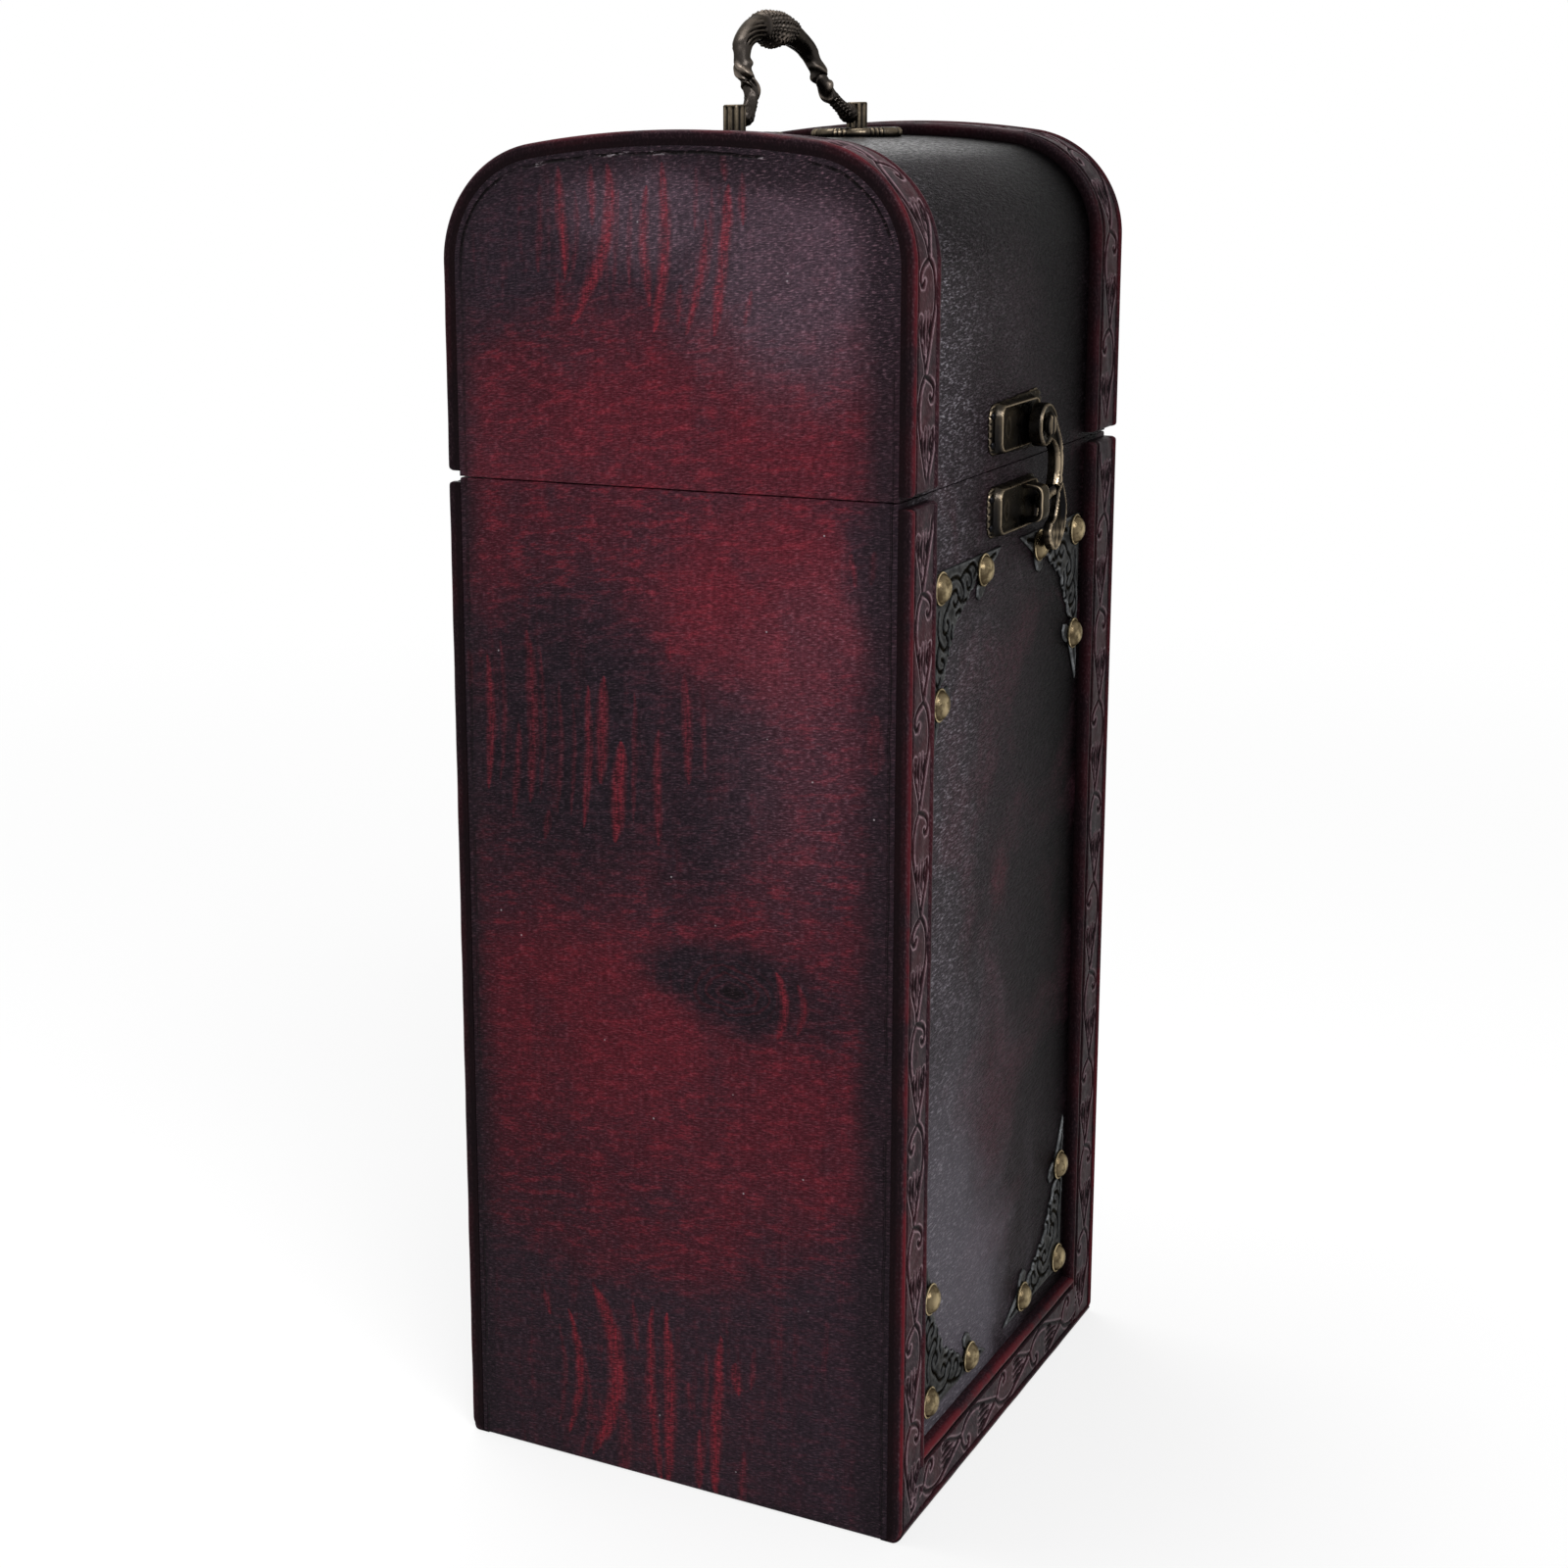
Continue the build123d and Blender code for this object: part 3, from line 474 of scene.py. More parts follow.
def charcoal_board(g, shader):
    """The nearly black lacquered boards and lid sheet, with a painted sheen to the left and a hint of red."""
    stain = bpy.context.scene.wine_box_stain
    place = g.place()
    x, y, z = place.parts()
    fibres = g.use("Wood fibre", Vector=g.join(x, y, z), Length=330.0, Width=1500.0, Uneven=0.5)
    drift = place.noise(24.0, 4.0, 0.62, 0.5, "Color")
    cloud, _, tint = drift.parts()
    # lean grows to the right and falls low down; where it is low, the pale sheen of painted reflection lies
    lean = x * 1000.0 + (cloud - 0.5) * 120.0 - z.spread(0.12, 0.03, 0.0, 34.0)
    base = g.mix(lean.spread(-70.0, 0.0), stain.painted_sheen, stain.charcoal)
    # Painted shade: the colour darkened towards the right
    base = g.mix(lean.spread(-5.0, 55.0), base, mixed(stain.charcoal, BLACK, 0.75))
    red = mixed(stain.smoke, stain.wine, 0.5)
    base = g.mix(tint.spread(0.48, 0.7, 0.0, 0.55) * z.spread(0.26, 0.25), base, red)
    # More painted shade towards the right, by x
    base = base.dimmed(x.spread(-0.005, 0.05, 1.0, 0.5))
    spot = (place - (-0.0005, 0.0, 0.148)) * (95.0, 0.0, 60.0) + (drift - 0.5) * (2.2, 0.0, 2.2)
    base = g.mix(spot.length().spread(0.9, 0.2, 0.0, 0.35), base, stain.wine)
    pebble = (place * (520.0, 1100.0, 2000.0)).noise(1.0, 3.0, 0.65)
    grit = pebble.spread(0.34, 0.66, 0.5, 1.6) * fibres["Shade"].spread(0.0, 1.0, 0.85, 1.15)
    # The pebbled grain, and painted shade that dims the lid sheet's shoulder and crown
    base = base.dimmed(grit * z.spread(0.292, 0.318, 1.0, 0.3))
    # Painted reflection: a pale bluish sheen low down on the left
    base = g.mix(z.spread(0.15, 0.05) * lean.spread(5.0, -60.0) * 0.72, base, linear(84, 80, 88))
    # Painted glints: pale highlights on the pebbles, strongest to the left and weak on the crown
    glint_reach = x.spread(-0.005, -0.045, 1.0, 2.0) * z.spread(0.25, 0.27, 0.6, 1.0)
    glint = pebble.spread(0.52, 0.72) * lean.spread(-70.0, 12.0, 0.5, 0.02) * glint_reach
    base = g.mix(glint * z.spread(0.300, 0.316, 1.0, 0.2), base, linear(144, 140, 147))
    dust = g.use("Dust specks", Vector=place, Spacing=100.0, Size=0.026)["Mask"]
    base = g.mix(dust * 0.5, base, (0.3, 0.28, 0.3))
    crown = z.spread(0.3255, 0.3308) * pebble.spread(0.4, 0.62, 0.15, 1.0) * x.spread(-0.03, 0.06, 1.0, 0.35)
    g.finish(
        shader, pebble + fibres["Height"], 0.0005, 1.0, Base_Color=base, Specular_IOR_Level=0.016,
        Roughness=fibres["Shade"] * 0.1 + (stain.gloss - 0.04), Coat_Weight=crown, Coat_Roughness=0.3,
    )


def carved_wood(g, shader):
    """The mouldings' finish: dark band, darker grooves, rubbed crimson beads, painted highlight and shade."""
    paint = bpy.context.scene.wine_box_moulding
    place = g.place()
    x, _, z = place.parts()
    cloud, fine = place.noise(55.0, 4.0, 0.6, 0.4), place.noise(420.0, 3.0, 0.6)
    base = g.mix(cloud.spread(0.4, 0.66, 0.0, 0.5), paint.band, g.mix(0.5, paint.band, paint.bead))
    hatch = ((place + g.join(z * 0.6, 0.0, 0.0)) * (2300.0, 2300.0, 700.0)).noise(1.0, 2.0, 0.6)
    base = g.mix(hatch.spread(0.5, 0.72, 0.0, 0.4), base, linear(92, 70, 76))
    base = g.mix(hatch.spread(0.45, 0.3, 0.0, 0.5), base, paint.shadow)
    worn = (cloud + fine * 0.3).spread(0.5, 0.72, 0.25, 1.0) * z.spread(0.14, 0.02, 0.78, 1.9)
    rub = g.attribute("rub")
    base = g.mix((rub * worn).clamped(), base, paint.bead)
    base = g.mix((rub * -1.2).clamped(), base, paint.shadow)
    # The raised lips beside the cuts made lighter: partly worn wood, partly a painted highlight
    base = g.mix(g.attribute("ridge") * fine.spread(0.35, 0.6, 0.4, 0.95), base, linear(138, 114, 121))
    base = g.mix(g.attribute("carving") * 0.95, base, paint.shadow)
    # Painted shade: the colour darkened towards the right
    g.finish(
        shader, fine * 0.6 + cloud, 0.0002, 0.7, Base_Color=base.dimmed(x.spread(-0.03, 0.06, 1.0, 0.55)),
        Roughness=fine.spread(0.3, 0.8, 0.33, 0.5), Specular_IOR_Level=0.022,
    )


def aged_metal(g, shader, dark, bright, rough, mask, power, pit=0.00012, cloud=260.0):
    """Dark tarnished metal, brighter on the raised parts that an attribute marks."""
    stained = g.use("Tarnish", Vector=g.place(), Cloud=cloud, Pit=1500.0)
    worn = (g.attribute("shine") | 0.0) ** power * (1.0 - stained["Mask"] * mask)
    g.finish(
        shader, stained["Height"], pit, 0.7, Base_Color=g.mix(worn, linear(*dark), linear(*bright)),
        Metallic=1.0, Specular_Tint=(0.5, 0.49, 0.47), Roughness=stained["Mask"] * 0.22 + rough,
    )


# What makes each finish, and with which values. A metal's are its dark and its bright colour, its
# roughness, how much tarnish hides the brightness and how steeply that falls off, and where they
# differ its pits and its clouds.
FINISHES = {
    "stained_box_side": (side_stain, False),
    "stained_lid_side": (side_stain, True),
    "charcoal_lacquer": (charcoal_board,),
    "carved_moulding": (carved_wood,),
    "dark_stamped_metal": (aged_metal, (13, 13, 14), (114, 116, 118), 0.34, 0.6, 1.5),
    "aged_brass": (aged_metal, (60, 50, 36), (188, 170, 134), 0.22, 0.8, 1.3, 0.0002, 420.0),
    "antique_bronze": (aged_metal, (20, 20, 22), (174, 157, 132), 0.24, 0.4, 2.2),
    "dark_bronze": (aged_metal, (52, 48, 45), (128, 117, 107), 0.25, 0.35, 1.6),
    "screw_steel": (aged_metal, (110, 108, 104), (170, 168, 160), 0.35, 0.4, 1.4),
}


def new_material(name):
    """A material, its graph, its Principled shader and its output's Surface."""
    made = bpy.data.materials.new(name)
    made.use_nodes = True
    made.node_tree.nodes.clear()
    g = Graph(made.node_tree)
    shader = g.node("ShaderNodeBsdfPrincipled")
    return made, g, shader, g.node("ShaderNodeOutputMaterial", (Wire(g, shader.outputs[0]),)).inputs[0]


MADE = {}


def material(name):
    """A finish, made at its first use. The CAD's own materials may have the same names."""
    if name not in MADE:
        MADE[name], g, shader, _ = new_material(name)
        maker, *values = FINISHES[name]
        maker(g, shader, *values)
    return MADE[name]


SOFT_EDGE_LIMIT = radians(40)
SOFT_EDGE = 0.2


def dress(node, name, edge=SOFT_EDGE):
    """Gives a CAD node one of the finishes, and softens its sharp edges by some tenths of a millimetre."""
    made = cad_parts[node]
    made.data.materials.clear()
    made.data.materials.append(material(name))
    weld = made.modifiers.new("weld", "WELD")
    weld.merge_threshold = 1e-6
    soft = made.modifiers.new("soft edges", "BEVEL")
    soft.width, soft.segments = edge * MM, 2
    soft.limit_method, soft.angle_limit = "ANGLE", SOFT_EDGE_LIMIT


# Mesh helpers


def finish_piece(bm, name, finish, body, node):
    """Turns a bmesh into a piece of the object that rides on a body and stands for its CAD node."""
    mesh = bpy.data.meshes.new(name)
    bm.to_mesh(mesh)
    bm.free()
    made = bpy.data.objects.new(name, mesh)
    bpy.context.scene.collection.objects.link(made)
    mesh.materials.append(material(finish))
    mesh.shade_smooth()
    mesh.set_sharp_from_angle(angle=SOFT_EDGE_LIMIT)
    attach(made, body)
    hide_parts(node)


def close_mesh(bm):
    bmesh.ops.holes_fill(bm, edges=[e for e in bm.edges if e.is_boundary], sides=0)
    bmesh.ops.recalc_face_normals(bm, faces=bm.faces)


def to_metres(bm):
    bmesh.ops.scale(bm, vec=(MM, MM, MM), verts=bm.verts)


def joined(parts):
    """Several bmeshes as one."""
    whole, *others = parts
    for part in others:
        mesh = bpy.data.meshes.new("part")
        part.to_mesh(mesh)
        part.free()
        whole.from_mesh(mesh)
        bpy.data.meshes.remove(mesh)
    return whole


def bell(value, middle, width, power=2):
    """1 at the middle, falling smoothly to both sides."""
    return np.exp(-(((value - middle) / width) ** power))


def ramp(value, low, high):
    share = np.clip((value - low) / (high - low), 0, 1)
    return share * share * (3 - 2 * share)


def unit(value):
    return np.clip(value, 0, 1)


def distance_to(path, along, across):
    """Distance from points to an open line, and how far along it the nearest place is, 0 to 1."""
    path = np.array(path, float)
    nearest = np.full(along.shape, 1e9)
    where = np.zeros(along.shape)
    for index, (start, end) in enumerate(zip(path[:-1], path[1:])):
        step = end - start
        share = unit(((along - start[0]) * step[0] + (across - start[1]) * step[1]) / (step @ step))
        gap = np.hypot(along - start[0] - share * step[0], across - start[1] - share * step[1])
        closer = gap < nearest
        nearest = np.where(closer, gap, nearest)
        where = np.where(closer, (index + share) / (len(path) - 1), where)
    return nearest, where


# Carved mouldings

# One bay of the vine, from one crossing to the next: share of the bay, and share of the band's half width
VINE = (
    (0.0, 0.17), (0.04, 0.36), (0.09, 0.6), (0.16, 0.76), (0.25, 0.87), (0.34, 0.9), (0.45, 0.82),
    (0.58, 0.58), (0.72, 0.32), (0.86, 0.06), (1.0, -0.17),
)
CURL = (
    (0.01, 0.14), (0.03, -0.12), (0.05, -0.38), (0.085, -0.66), (0.13, -0.83), (0.185, -0.86), (0.23, -0.72),
    (0.235, -0.5), (0.2, -0.38),
)
BUD = ((0.5, -0.8), (0.58, -0.88), (0.68, -0.74), (0.78, -0.52), (0.88, -0.3), (0.99, -0.18))
GOUGES = (
    ((0.5, -0.6), (0.6, -0.6), (0.7, -0.55)),
    ((0.47, -0.27), (0.62, -0.29), (0.8, -0.27)),
    ((0.47, 0.08), (0.62, 0.05), (0.8, -0.03)),
    ((0.51, 0.42), (0.6, 0.37), (0.69, 0.29)),
)
# Widths of the outer bead, the inner bead and the groove beside each, in millimetres
BEAD, INNER_BEAD, GROOVE = 2.1, 2.3, 1.1
BAND_POINTS = 34


def carve(along, across, half_band, settings):
    """Depth of the carving in mm, its share from 0 to 1 and its raised lips, at places on the band."""
    number = np.floor(along / settings.bay)
    local = along - number * settings.bay
    mirrored = np.where(number % 2 == 0, across, -across)
    to_size = np.array((settings.bay, half_band))
    depth, ridge = np.zeros(along.shape), np.zeros(along.shape)
    for path, width, deep in ((VINE, 0.52, 1.0), (CURL, 0.5, 1.0), (BUD, 0.46, 0.9)):
        gap, _ = distance_to(np.array(path) * to_size, local, mirrored)
        depth = np.maximum(depth, deep * settings.line_depth * bell(gap, 0, width))
        ridge = np.maximum(ridge, bell(gap, 0.95, 0.22))
    for path in GOUGES:
        gap, where = distance_to(np.array(path) * to_size, local, mirrored)
        width = 0.16 + 0.46 * np.sin(pi * np.clip(where, 0.05, 0.97)) ** 0.6
        depth = np.maximum(depth, settings.gouge_depth * bell(gap, 0, width, 3))
        ridge = np.maximum(ridge, 0.9 * bell(gap, width + 0.16, 0.2))
    share = unit(depth / settings.line_depth * 1.05) ** 1.3
    return depth, share, ridge * (1 - unit(share * 2))


def strip_profile(round_foot):
    """Points of the moulding's section, across and up, how much each is rubbed and whether it is band."""
    top = STRIP_THICKNESS
    band, low = top - 0.4, top - 1.6
    start, end = BEAD + GROOVE, STRIP_WIDTH - INNER_BEAD - GROOVE
    if round_foot:
        points = [(0, 0, -0.6, 0), (0, 0.6, -0.5, 0)]
        for turn in range(9):
            angle = pi / 2 * turn / 8
            points.append((BEAD * (1 - cos(angle)), top - 2.2 + 2.2 * sin(angle), -0.4 + 0.5 * turn / 8, 0))
    else:
        points = [(0, 0, -0.75, 0), (0, 1.2, -0.75, 0), (0, 2.0, -0.5, 0)]
        for turn in range(11):
            angle = pi * turn / 10
            rubbed = 1.4 * sin(angle) - 0.55
            points.append((BEAD / 2 * (1 - cos(angle)), top - BEAD / 2 * (1 - sin(angle)), rubbed, 0))
    for share, up in ((0.3, low + 0.25), (0.5, low), (0.8, low + 0.4), (0.92, band - 0.2)):
        points.append((BEAD + GROOVE * share, up, 0, 0))
    for step in range(BAND_POINTS + 1):
        points.append((start + (end - start) * step / BAND_POINTS, band, 0, 1))
    for share, up in ((0.1, band - 0.2), (0.25, low + 0.4), (0.5, low), (0.75, low + 0.2)):
        points.append((end + GROOVE * share, up, 0, 0))
    for turn in range(9):
        angle = pi * turn / 8
        across = STRIP_WIDTH - INNER_BEAD / 2 - INNER_BEAD / 2 * cos(angle)
        points.append((across, band - INNER_BEAD / 2 * (1 - sin(angle)), 0.4 * sin(angle) - 0.25, 0))
    return np.array(points + [(STRIP_WIDTH, 1.4, -0.5, 0), (STRIP_WIDTH, 0, -0.8, 0)])


def carved_strip(length, place, settings, round_foot=False, ends=(0.0, 0.0), phase=0.0, inner_rub=0.0):
    """A carved moulding as a bmesh. place(along, across, up) gives the position in millimetres."""
    profile = strip_profile(round_foot)
    columns, rows = len(profile), int(ceil(length / settings.step)) + 1
    bm = bmesh.new()
    bmesh.ops.create_grid(bm, x_segments=columns - 1, y_segments=rows - 1, size=1.0)
    bm.verts.ensure_lookup_table()
    grid = np.array([vert.co for vert in bm.verts])
    column = np.rint((grid[:, 0] + 1) / 2 * (columns - 1)).astype(int)
    along = (grid[:, 1] + 1) / 2 * length
    across, up, rub, is_band = profile[column].T
    rub = rub + inner_rub * (across > STRIP_WIDTH - INNER_BEAD - 0.01)
    centre = (BEAD + STRIP_WIDTH - INNER_BEAD) / 2
    half_band = STRIP_WIDTH - INNER_BEAD - GROOVE - centre
    fade = ramp(along, 1.5, 5.0) * ramp(length - along, 1.5, 5.0)
    depth, share, ridge = (part * fade for part in carve(along + phase, across - centre, half_band, settings))
    up = up - depth * is_band
    between = (across > BEAD) & (across < STRIP_WIDTH - INNER_BEAD)
    hollow = unit((STRIP_THICKNESS - 0.5 - up) / 0.35) * between
    carving = np.maximum(share * is_band, hollow * (1 - is_band))
    uneven = 0.05 * np.sin(along * 0.31 + across) * np.sin(along * 0.083 + 1.3)
    up = up + uneven * (up > 1.5) * (up < STRIP_THICKNESS - 0.2)
    for end, reach in zip((0.0, length), ends):
        if reach:
            near = unit(1 - np.abs(along - end) / reach)
            up = up - (up > 1.0) * reach * (1 - np.sqrt(1 - near ** 2)) * 0.9
    positions = place(along, across, up) * MM
    for name, values in (("carving", carving), ("rub", rub), ("ridge", ridge * is_band)):
        layer = bm.verts.layers.float.new(name)
        for vert, value in zip(bm.verts, values):
            vert[layer] = value
    for vert, position in zip(bm.verts, positions):
        vert.co = position
    rim = [edge for edge in bm.edges if edge.is_boundary]
    feet = [
        e for foot in (0, columns - 1) for e in rim if all(column[vert.index] == foot for vert in e.verts)
    ]
    bmesh.ops.bridge_loops(bm, edges=feet)
    close_mesh(bm)
    return bm


def trim(bm, point, normal):
    """Cuts away what lies beyond a plane, and closes the cut."""
    everything = bm.verts[:] + bm.edges[:] + bm.faces[:]
    bmesh.ops.bisect_plane(
        bm, geom=everything, dist=1e-7, plane_co=Vector(point) * MM, plane_no=Vector(normal), clear_outer=True
    )
    close_mesh(bm)


def lid_path(side):
    """The lid moulding's line as a function of the length along its top, from back foot to front foot."""
    across = HALF_DEPTH - CORNER_RADIUS
    crown_z = CASE_TOP - CROWN_RADIUS
    rise = sqrt((CROWN_RADIUS - CORNER_RADIUS) ** 2 - across ** 2)
    spring_z = crown_z + rise
    lean = atan2(rise, across)
    leg = spring_z - LID_LOW.z
    corner = CORNER_RADIUS * lean
    total = 2 * leg + 2 * corner + CROWN_RADIUS * (pi - 2 * lean)

    def place(along, width, up):
        s = np.minimum(along, total - along)
        on_corner = np.clip((s - leg) / CORNER_RADIUS, 0, lean)
        turn = lean + np.clip((s - leg - corner) / CROWN_RADIUS, 0, None)
        reach, crown_reach = CORNER_RADIUS - STRIP_THICKNESS + up, CROWN_RADIUS - STRIP_THICKNESS + up
        corner_z = spring_z + reach * np.sin(on_corner) - np.clip(leg - s, 0, None)
        over = s > leg + corner
        y = np.where(over, crown_reach * np.cos(turn), across + reach * np.cos(on_corner))
        z = np.where(over, crown_z + crown_reach * np.sin(turn), corner_z)
        return np.stack([side * (HALF_WIDTH - width), y * np.where(along <= total / 2, 1.0, -1.0), z], -1)

    return total, place


class WINEBOX_OT_mouldings(Operator):
    """Carve the mouldings of the front, the back and the lid"""

    bl_idname = "wine_box.mouldings"
    bl_label = "Mouldings"

    def execute(self, context):
        settings = context.scene.wine_box_moulding
        top = BAND_HIGH.z

        def finish(bm, node, body):
            finish_piece(bm, "carved_" + node, "carved_moulding", body, node)

        for facing, end in ((-1, "front"), (1, "back")):
            for side, hand in HANDS:
                def upright(along, width, up):
                    return np.stack([side * (HALF_WIDTH - width), facing * (FACE_Y + up), top - along], -1)

                bm = carved_strip(top, upright, settings, ends=(1.0, 3.2), phase=6.0)
                trim(bm, (side * HALF_WIDTH, 0, 0), (side, 0, -1))
                finish(bm, f"{end}_{hand}_moulding", "box")

            def rail(along, width, up):
                return np.stack([along - HALF_WIDTH, facing * (FACE_Y + up), width], -1)

            bm = carved_strip(2 * HALF_WIDTH, rail, settings, round_foot=True, phase=10.0, inner_rub=0.42)
            for side in (-1, 1):
                trim(bm, (side * (HALF_WIDTH - STRIP_WIDTH), 0, STRIP_WIDTH), (side, 0, 1))
            finish(bm, f"{end}_bottom_moulding", "box")
        for side, hand in HANDS:
            total, place = lid_path(side)
            bm = carved_strip(total, place, settings, ends=(1.0, 1.0), phase=3.0)
            finish(bm, f"lid_{hand}_moulding", "lid")
        return {"FINISHED"}


# Castings and stampings


def smooth_line(points, count=8):
    """Points of a smooth line through the given ones."""
    points = np.array(points, float)
    ends = np.concatenate([[2 * points[0] - points[1]], points, [2 * points[-1] - points[-2]]])
    found = []
    for before, start, end, after in zip(ends, ends[1:], ends[2:], ends[3:]):
        for share in np.arange(count) / count:
            bend = (2 * before - 5 * start + 4 * end - after) * share ** 2
            twist = (3 * start - before - 3 * end + after) * share ** 3
            found.append(0.5 * (2 * start + (end - before) * share + bend + twist))
    return np.array(found + [points[-1]])


def oblong(half_x, half_z, radius, centre=(0.0, 0.0), steps=6):
    """Outline of a rectangle with round corners."""
    points = []
    for corner in range(4):
        x = (half_x - radius) * (1 if corner in (0, 3) else -1) + centre[0]
        z = (half_z - radius) * (1 if corner < 2 else -1) + centre[1]
        for step in range(steps + 1):
            angle = pi / 2 * (corner + step / steps)
            points.append((x + radius * cos(angle), z + radius * sin(angle)))
    return np.array(points)


def relief(outline, rise, y, step):
    """A casting whose back lies at y and whose face looks to the front.

    rise(x, z, edge) gives the height over the back, and how bright it is (rubbed, and on the latch plates
    also a painted highlight), at a distance from the edge.
    """
    bm = bmesh.new()
    inner = [bm.faces.new([bm.verts.new((px, 0, pz)) for px, pz in outline])]
    for width in (0.1, 0.16):
        bmesh.ops.inset_region(bm, faces=inner, thickness=width, use_boundary=True, use_even_offset=True)
    low, high = outline.min(0), outline.max(0)
    for axis, normal in enumerate((Vector((1, 0, 0)), Vector((0, 0, 1)))):
        for at in np.arange(low[axis] + step / 2, high[axis], step):
            everything = bm.verts[:] + bm.edges[:] + bm.faces[:]
            bmesh.ops.bisect_plane(bm, geom=everything, dist=1e-4, plane_co=normal * at, plane_no=normal)
    x, _, z = np.array([vert.co for vert in bm.verts]).T
    height, bright = rise(x, z, distance_to(np.concatenate([outline, outline[:1]]), x, z)[0])
    shine = bm.verts.layers.float.new("shine")
    for vert, up, worn in zip(bm.verts, height, bright):
        vert.co.y = y - up
        vert[shine] = worn
    rim = [edge for edge in bm.edges if edge.is_boundary]
    for vert in bmesh.ops.extrude_edge_only(bm, edges=rim)["geom"]:
        if isinstance(vert, bmesh.types.BMVert):
            vert.co.y = y
            vert[shine] = 0.25
    close_mesh(bm)
    to_metres(bm)
    return bm


def wrapped(columns, rows, place):
    """A surface closed around its columns.

    place(turn, row, sideways, outward) gives positions in mm and how bright it is rubbed, from the
    angle, the row, and the angle's sine and cosine.
    """
    bm = bmesh.new()
    bmesh.ops.create_grid(bm, x_segments=columns, y_segments=rows, size=1.0)
    grid = (np.array([vert.co for vert in bm.verts]) + 1) / 2
    turn = np.rint(grid[:, 0] * columns) / columns * tau
    positions, bright = place(turn, np.rint(grid[:, 1] * rows).astype(int), np.sin(turn), np.cos(turn))
    shine = bm.verts.layers.float.new("shine")
    for vert, position, worn in zip(bm.verts, positions * MM, bright):
        vert.co = position
        vert[shine] = worn
    bmesh.ops.remove_doubles(bm, verts=bm.verts, dist=1e-7)
    close_mesh(bm)
    return bm


def turned(profile, centre, steps=40):
    """A part turned about an axis to the front: profile gives radius, height to the front and brightness."""
    bm = bmesh.new()
    shine = bm.verts.layers.float.new("shine")
    line = []
    for radius, height, bright in profile:
        line.append(bm.verts.new((radius, -height, 0)))
        line[-1][shine] = bright
    edges = [bm.edges.new(pair) for pair in zip(line, line[1:])]
    bmesh.ops.spin(
        bm, geom=line + edges, cent=(0, 0, 0), axis=(0, 1, 0), angle=tau, steps=steps, use_merge=True
    )
    bmesh.ops.remove_doubles(bm, verts=bm.verts, dist=1e-5)
    bmesh.ops.translate(bm, verts=bm.verts, vec=centre)
    to_metres(bm)
    close_mesh(bm)
    return bm


# Corner plates: half of the outline, and the scrolls, from the plate's own corner
CORNER_HALF = (
    (44.6, 0.0), (34.6, 5.2), (33.6, 5.8), (33.2, 8.0), (31.8, 10.2), (29.8, 11.0), (28.0, 9.9), (28.2, 7.9),
    (29.6, 6.2), (29.2, 5.0), (27.7, 4.2), (26.6, 6.2), (25.2, 7.6), (23.0, 8.0), (22.2, 9.4), (20.8, 10.5),
    (19.2, 10.4), (18.3, 11.6), (17.0, 12.9), (15.4, 12.7), (14.2, 14.2),
)
CORNER_SCROLLS = (
    ((8.5, 9.5), (11.2, 6.4), (14.2, 6.0), (15.2, 8.4), (13.4, 9.6), (12.2, 8.4)),
    ((9.5, 3.2), (13.0, 2.6), (16.5, 3.8), (19.0, 7.0), (17.6, 9.2), (15.8, 8.0)),
    ((16.5, 3.8), (20.0, 2.2), (23.2, 3.6), (23.6, 6.4), (21.6, 6.8), (20.8, 5.2)),
    ((20.0, 2.2), (24.5, 1.2), (27.0, 3.0), (25.4, 4.4)),
    ((14.0, 11.6), (16.2, 11.0), (17.4, 11.8)), ((19.0, 9.6), (20.6, 9.2), (21.4, 10.0)),
    ((34.0, 2.6), (36.5, 1.8), (39.8, 1.2)),
)


def corner_rise(x, z, edge):
    """Height and brightness of a corner plate from its scrolls."""
    gap = np.full(x.shape, 1e9)
    for points in CORNER_SCROLLS:
        line = smooth_line(points, 5)
        gap = np.minimum(gap, distance_to(line, x, z)[0])
        gap = np.minimum(gap, distance_to(line[:, ::-1], x, z)[0])
    trench, lip, border = bell(gap, 0, 0.42), bell(gap, 0.85, 0.28), bell(edge, 0.35, 0.22)
    height = 0.66 - 0.4 * (1 - ramp(edge, 0.0, 0.35)) - 0.42 * trench + 0.1 * lip + 0.06 * border
    return height, unit(0.48 + 0.3 * lip + 0.5 * border - 1.3 * trench)


def plate_corners():
    """Each corner plate's name, which way it points from its corner, and the corner's x and z."""
    for side, hand in HANDS:
        for way, level in ((-1, "upper"), (1, "lower")):
            node = f"{level}_{hand}_corner_plate"
            low, high = box_mm(node)
            yield node, side, way, low.x if side < 0 else high.x, low.z if way > 0 else high.z


class WINEBOX_OT_corners(Operator):
    """Stamp the four corner plates with their scrolls"""

    bl_idname = "wine_box.corners"
    bl_label = "Corner plates"

    def execute(self, context):
        half = np.array(CORNER_HALF)
        outline = np.concatenate([[(0.0, 0.0)], half, half[-2::-1, ::-1]])
        for node, side, way, x, z in plate_corners():
            bm = relief(outline, corner_rise, box_mm(node)[1].y, 0.42)
            bmesh.ops.scale(bm, vec=(-side, 1, way), verts=bm.verts)
            bmesh.ops.translate(bm, verts=bm.verts, vec=Vector((x, 0, z)) * MM)
            bmesh.ops.recalc_face_normals(bm, faces=bm.faces)
            finish_piece(bm, "stamped_" + node, "dark_stamped_metal", "box", node)
        return {"FINISHED"}


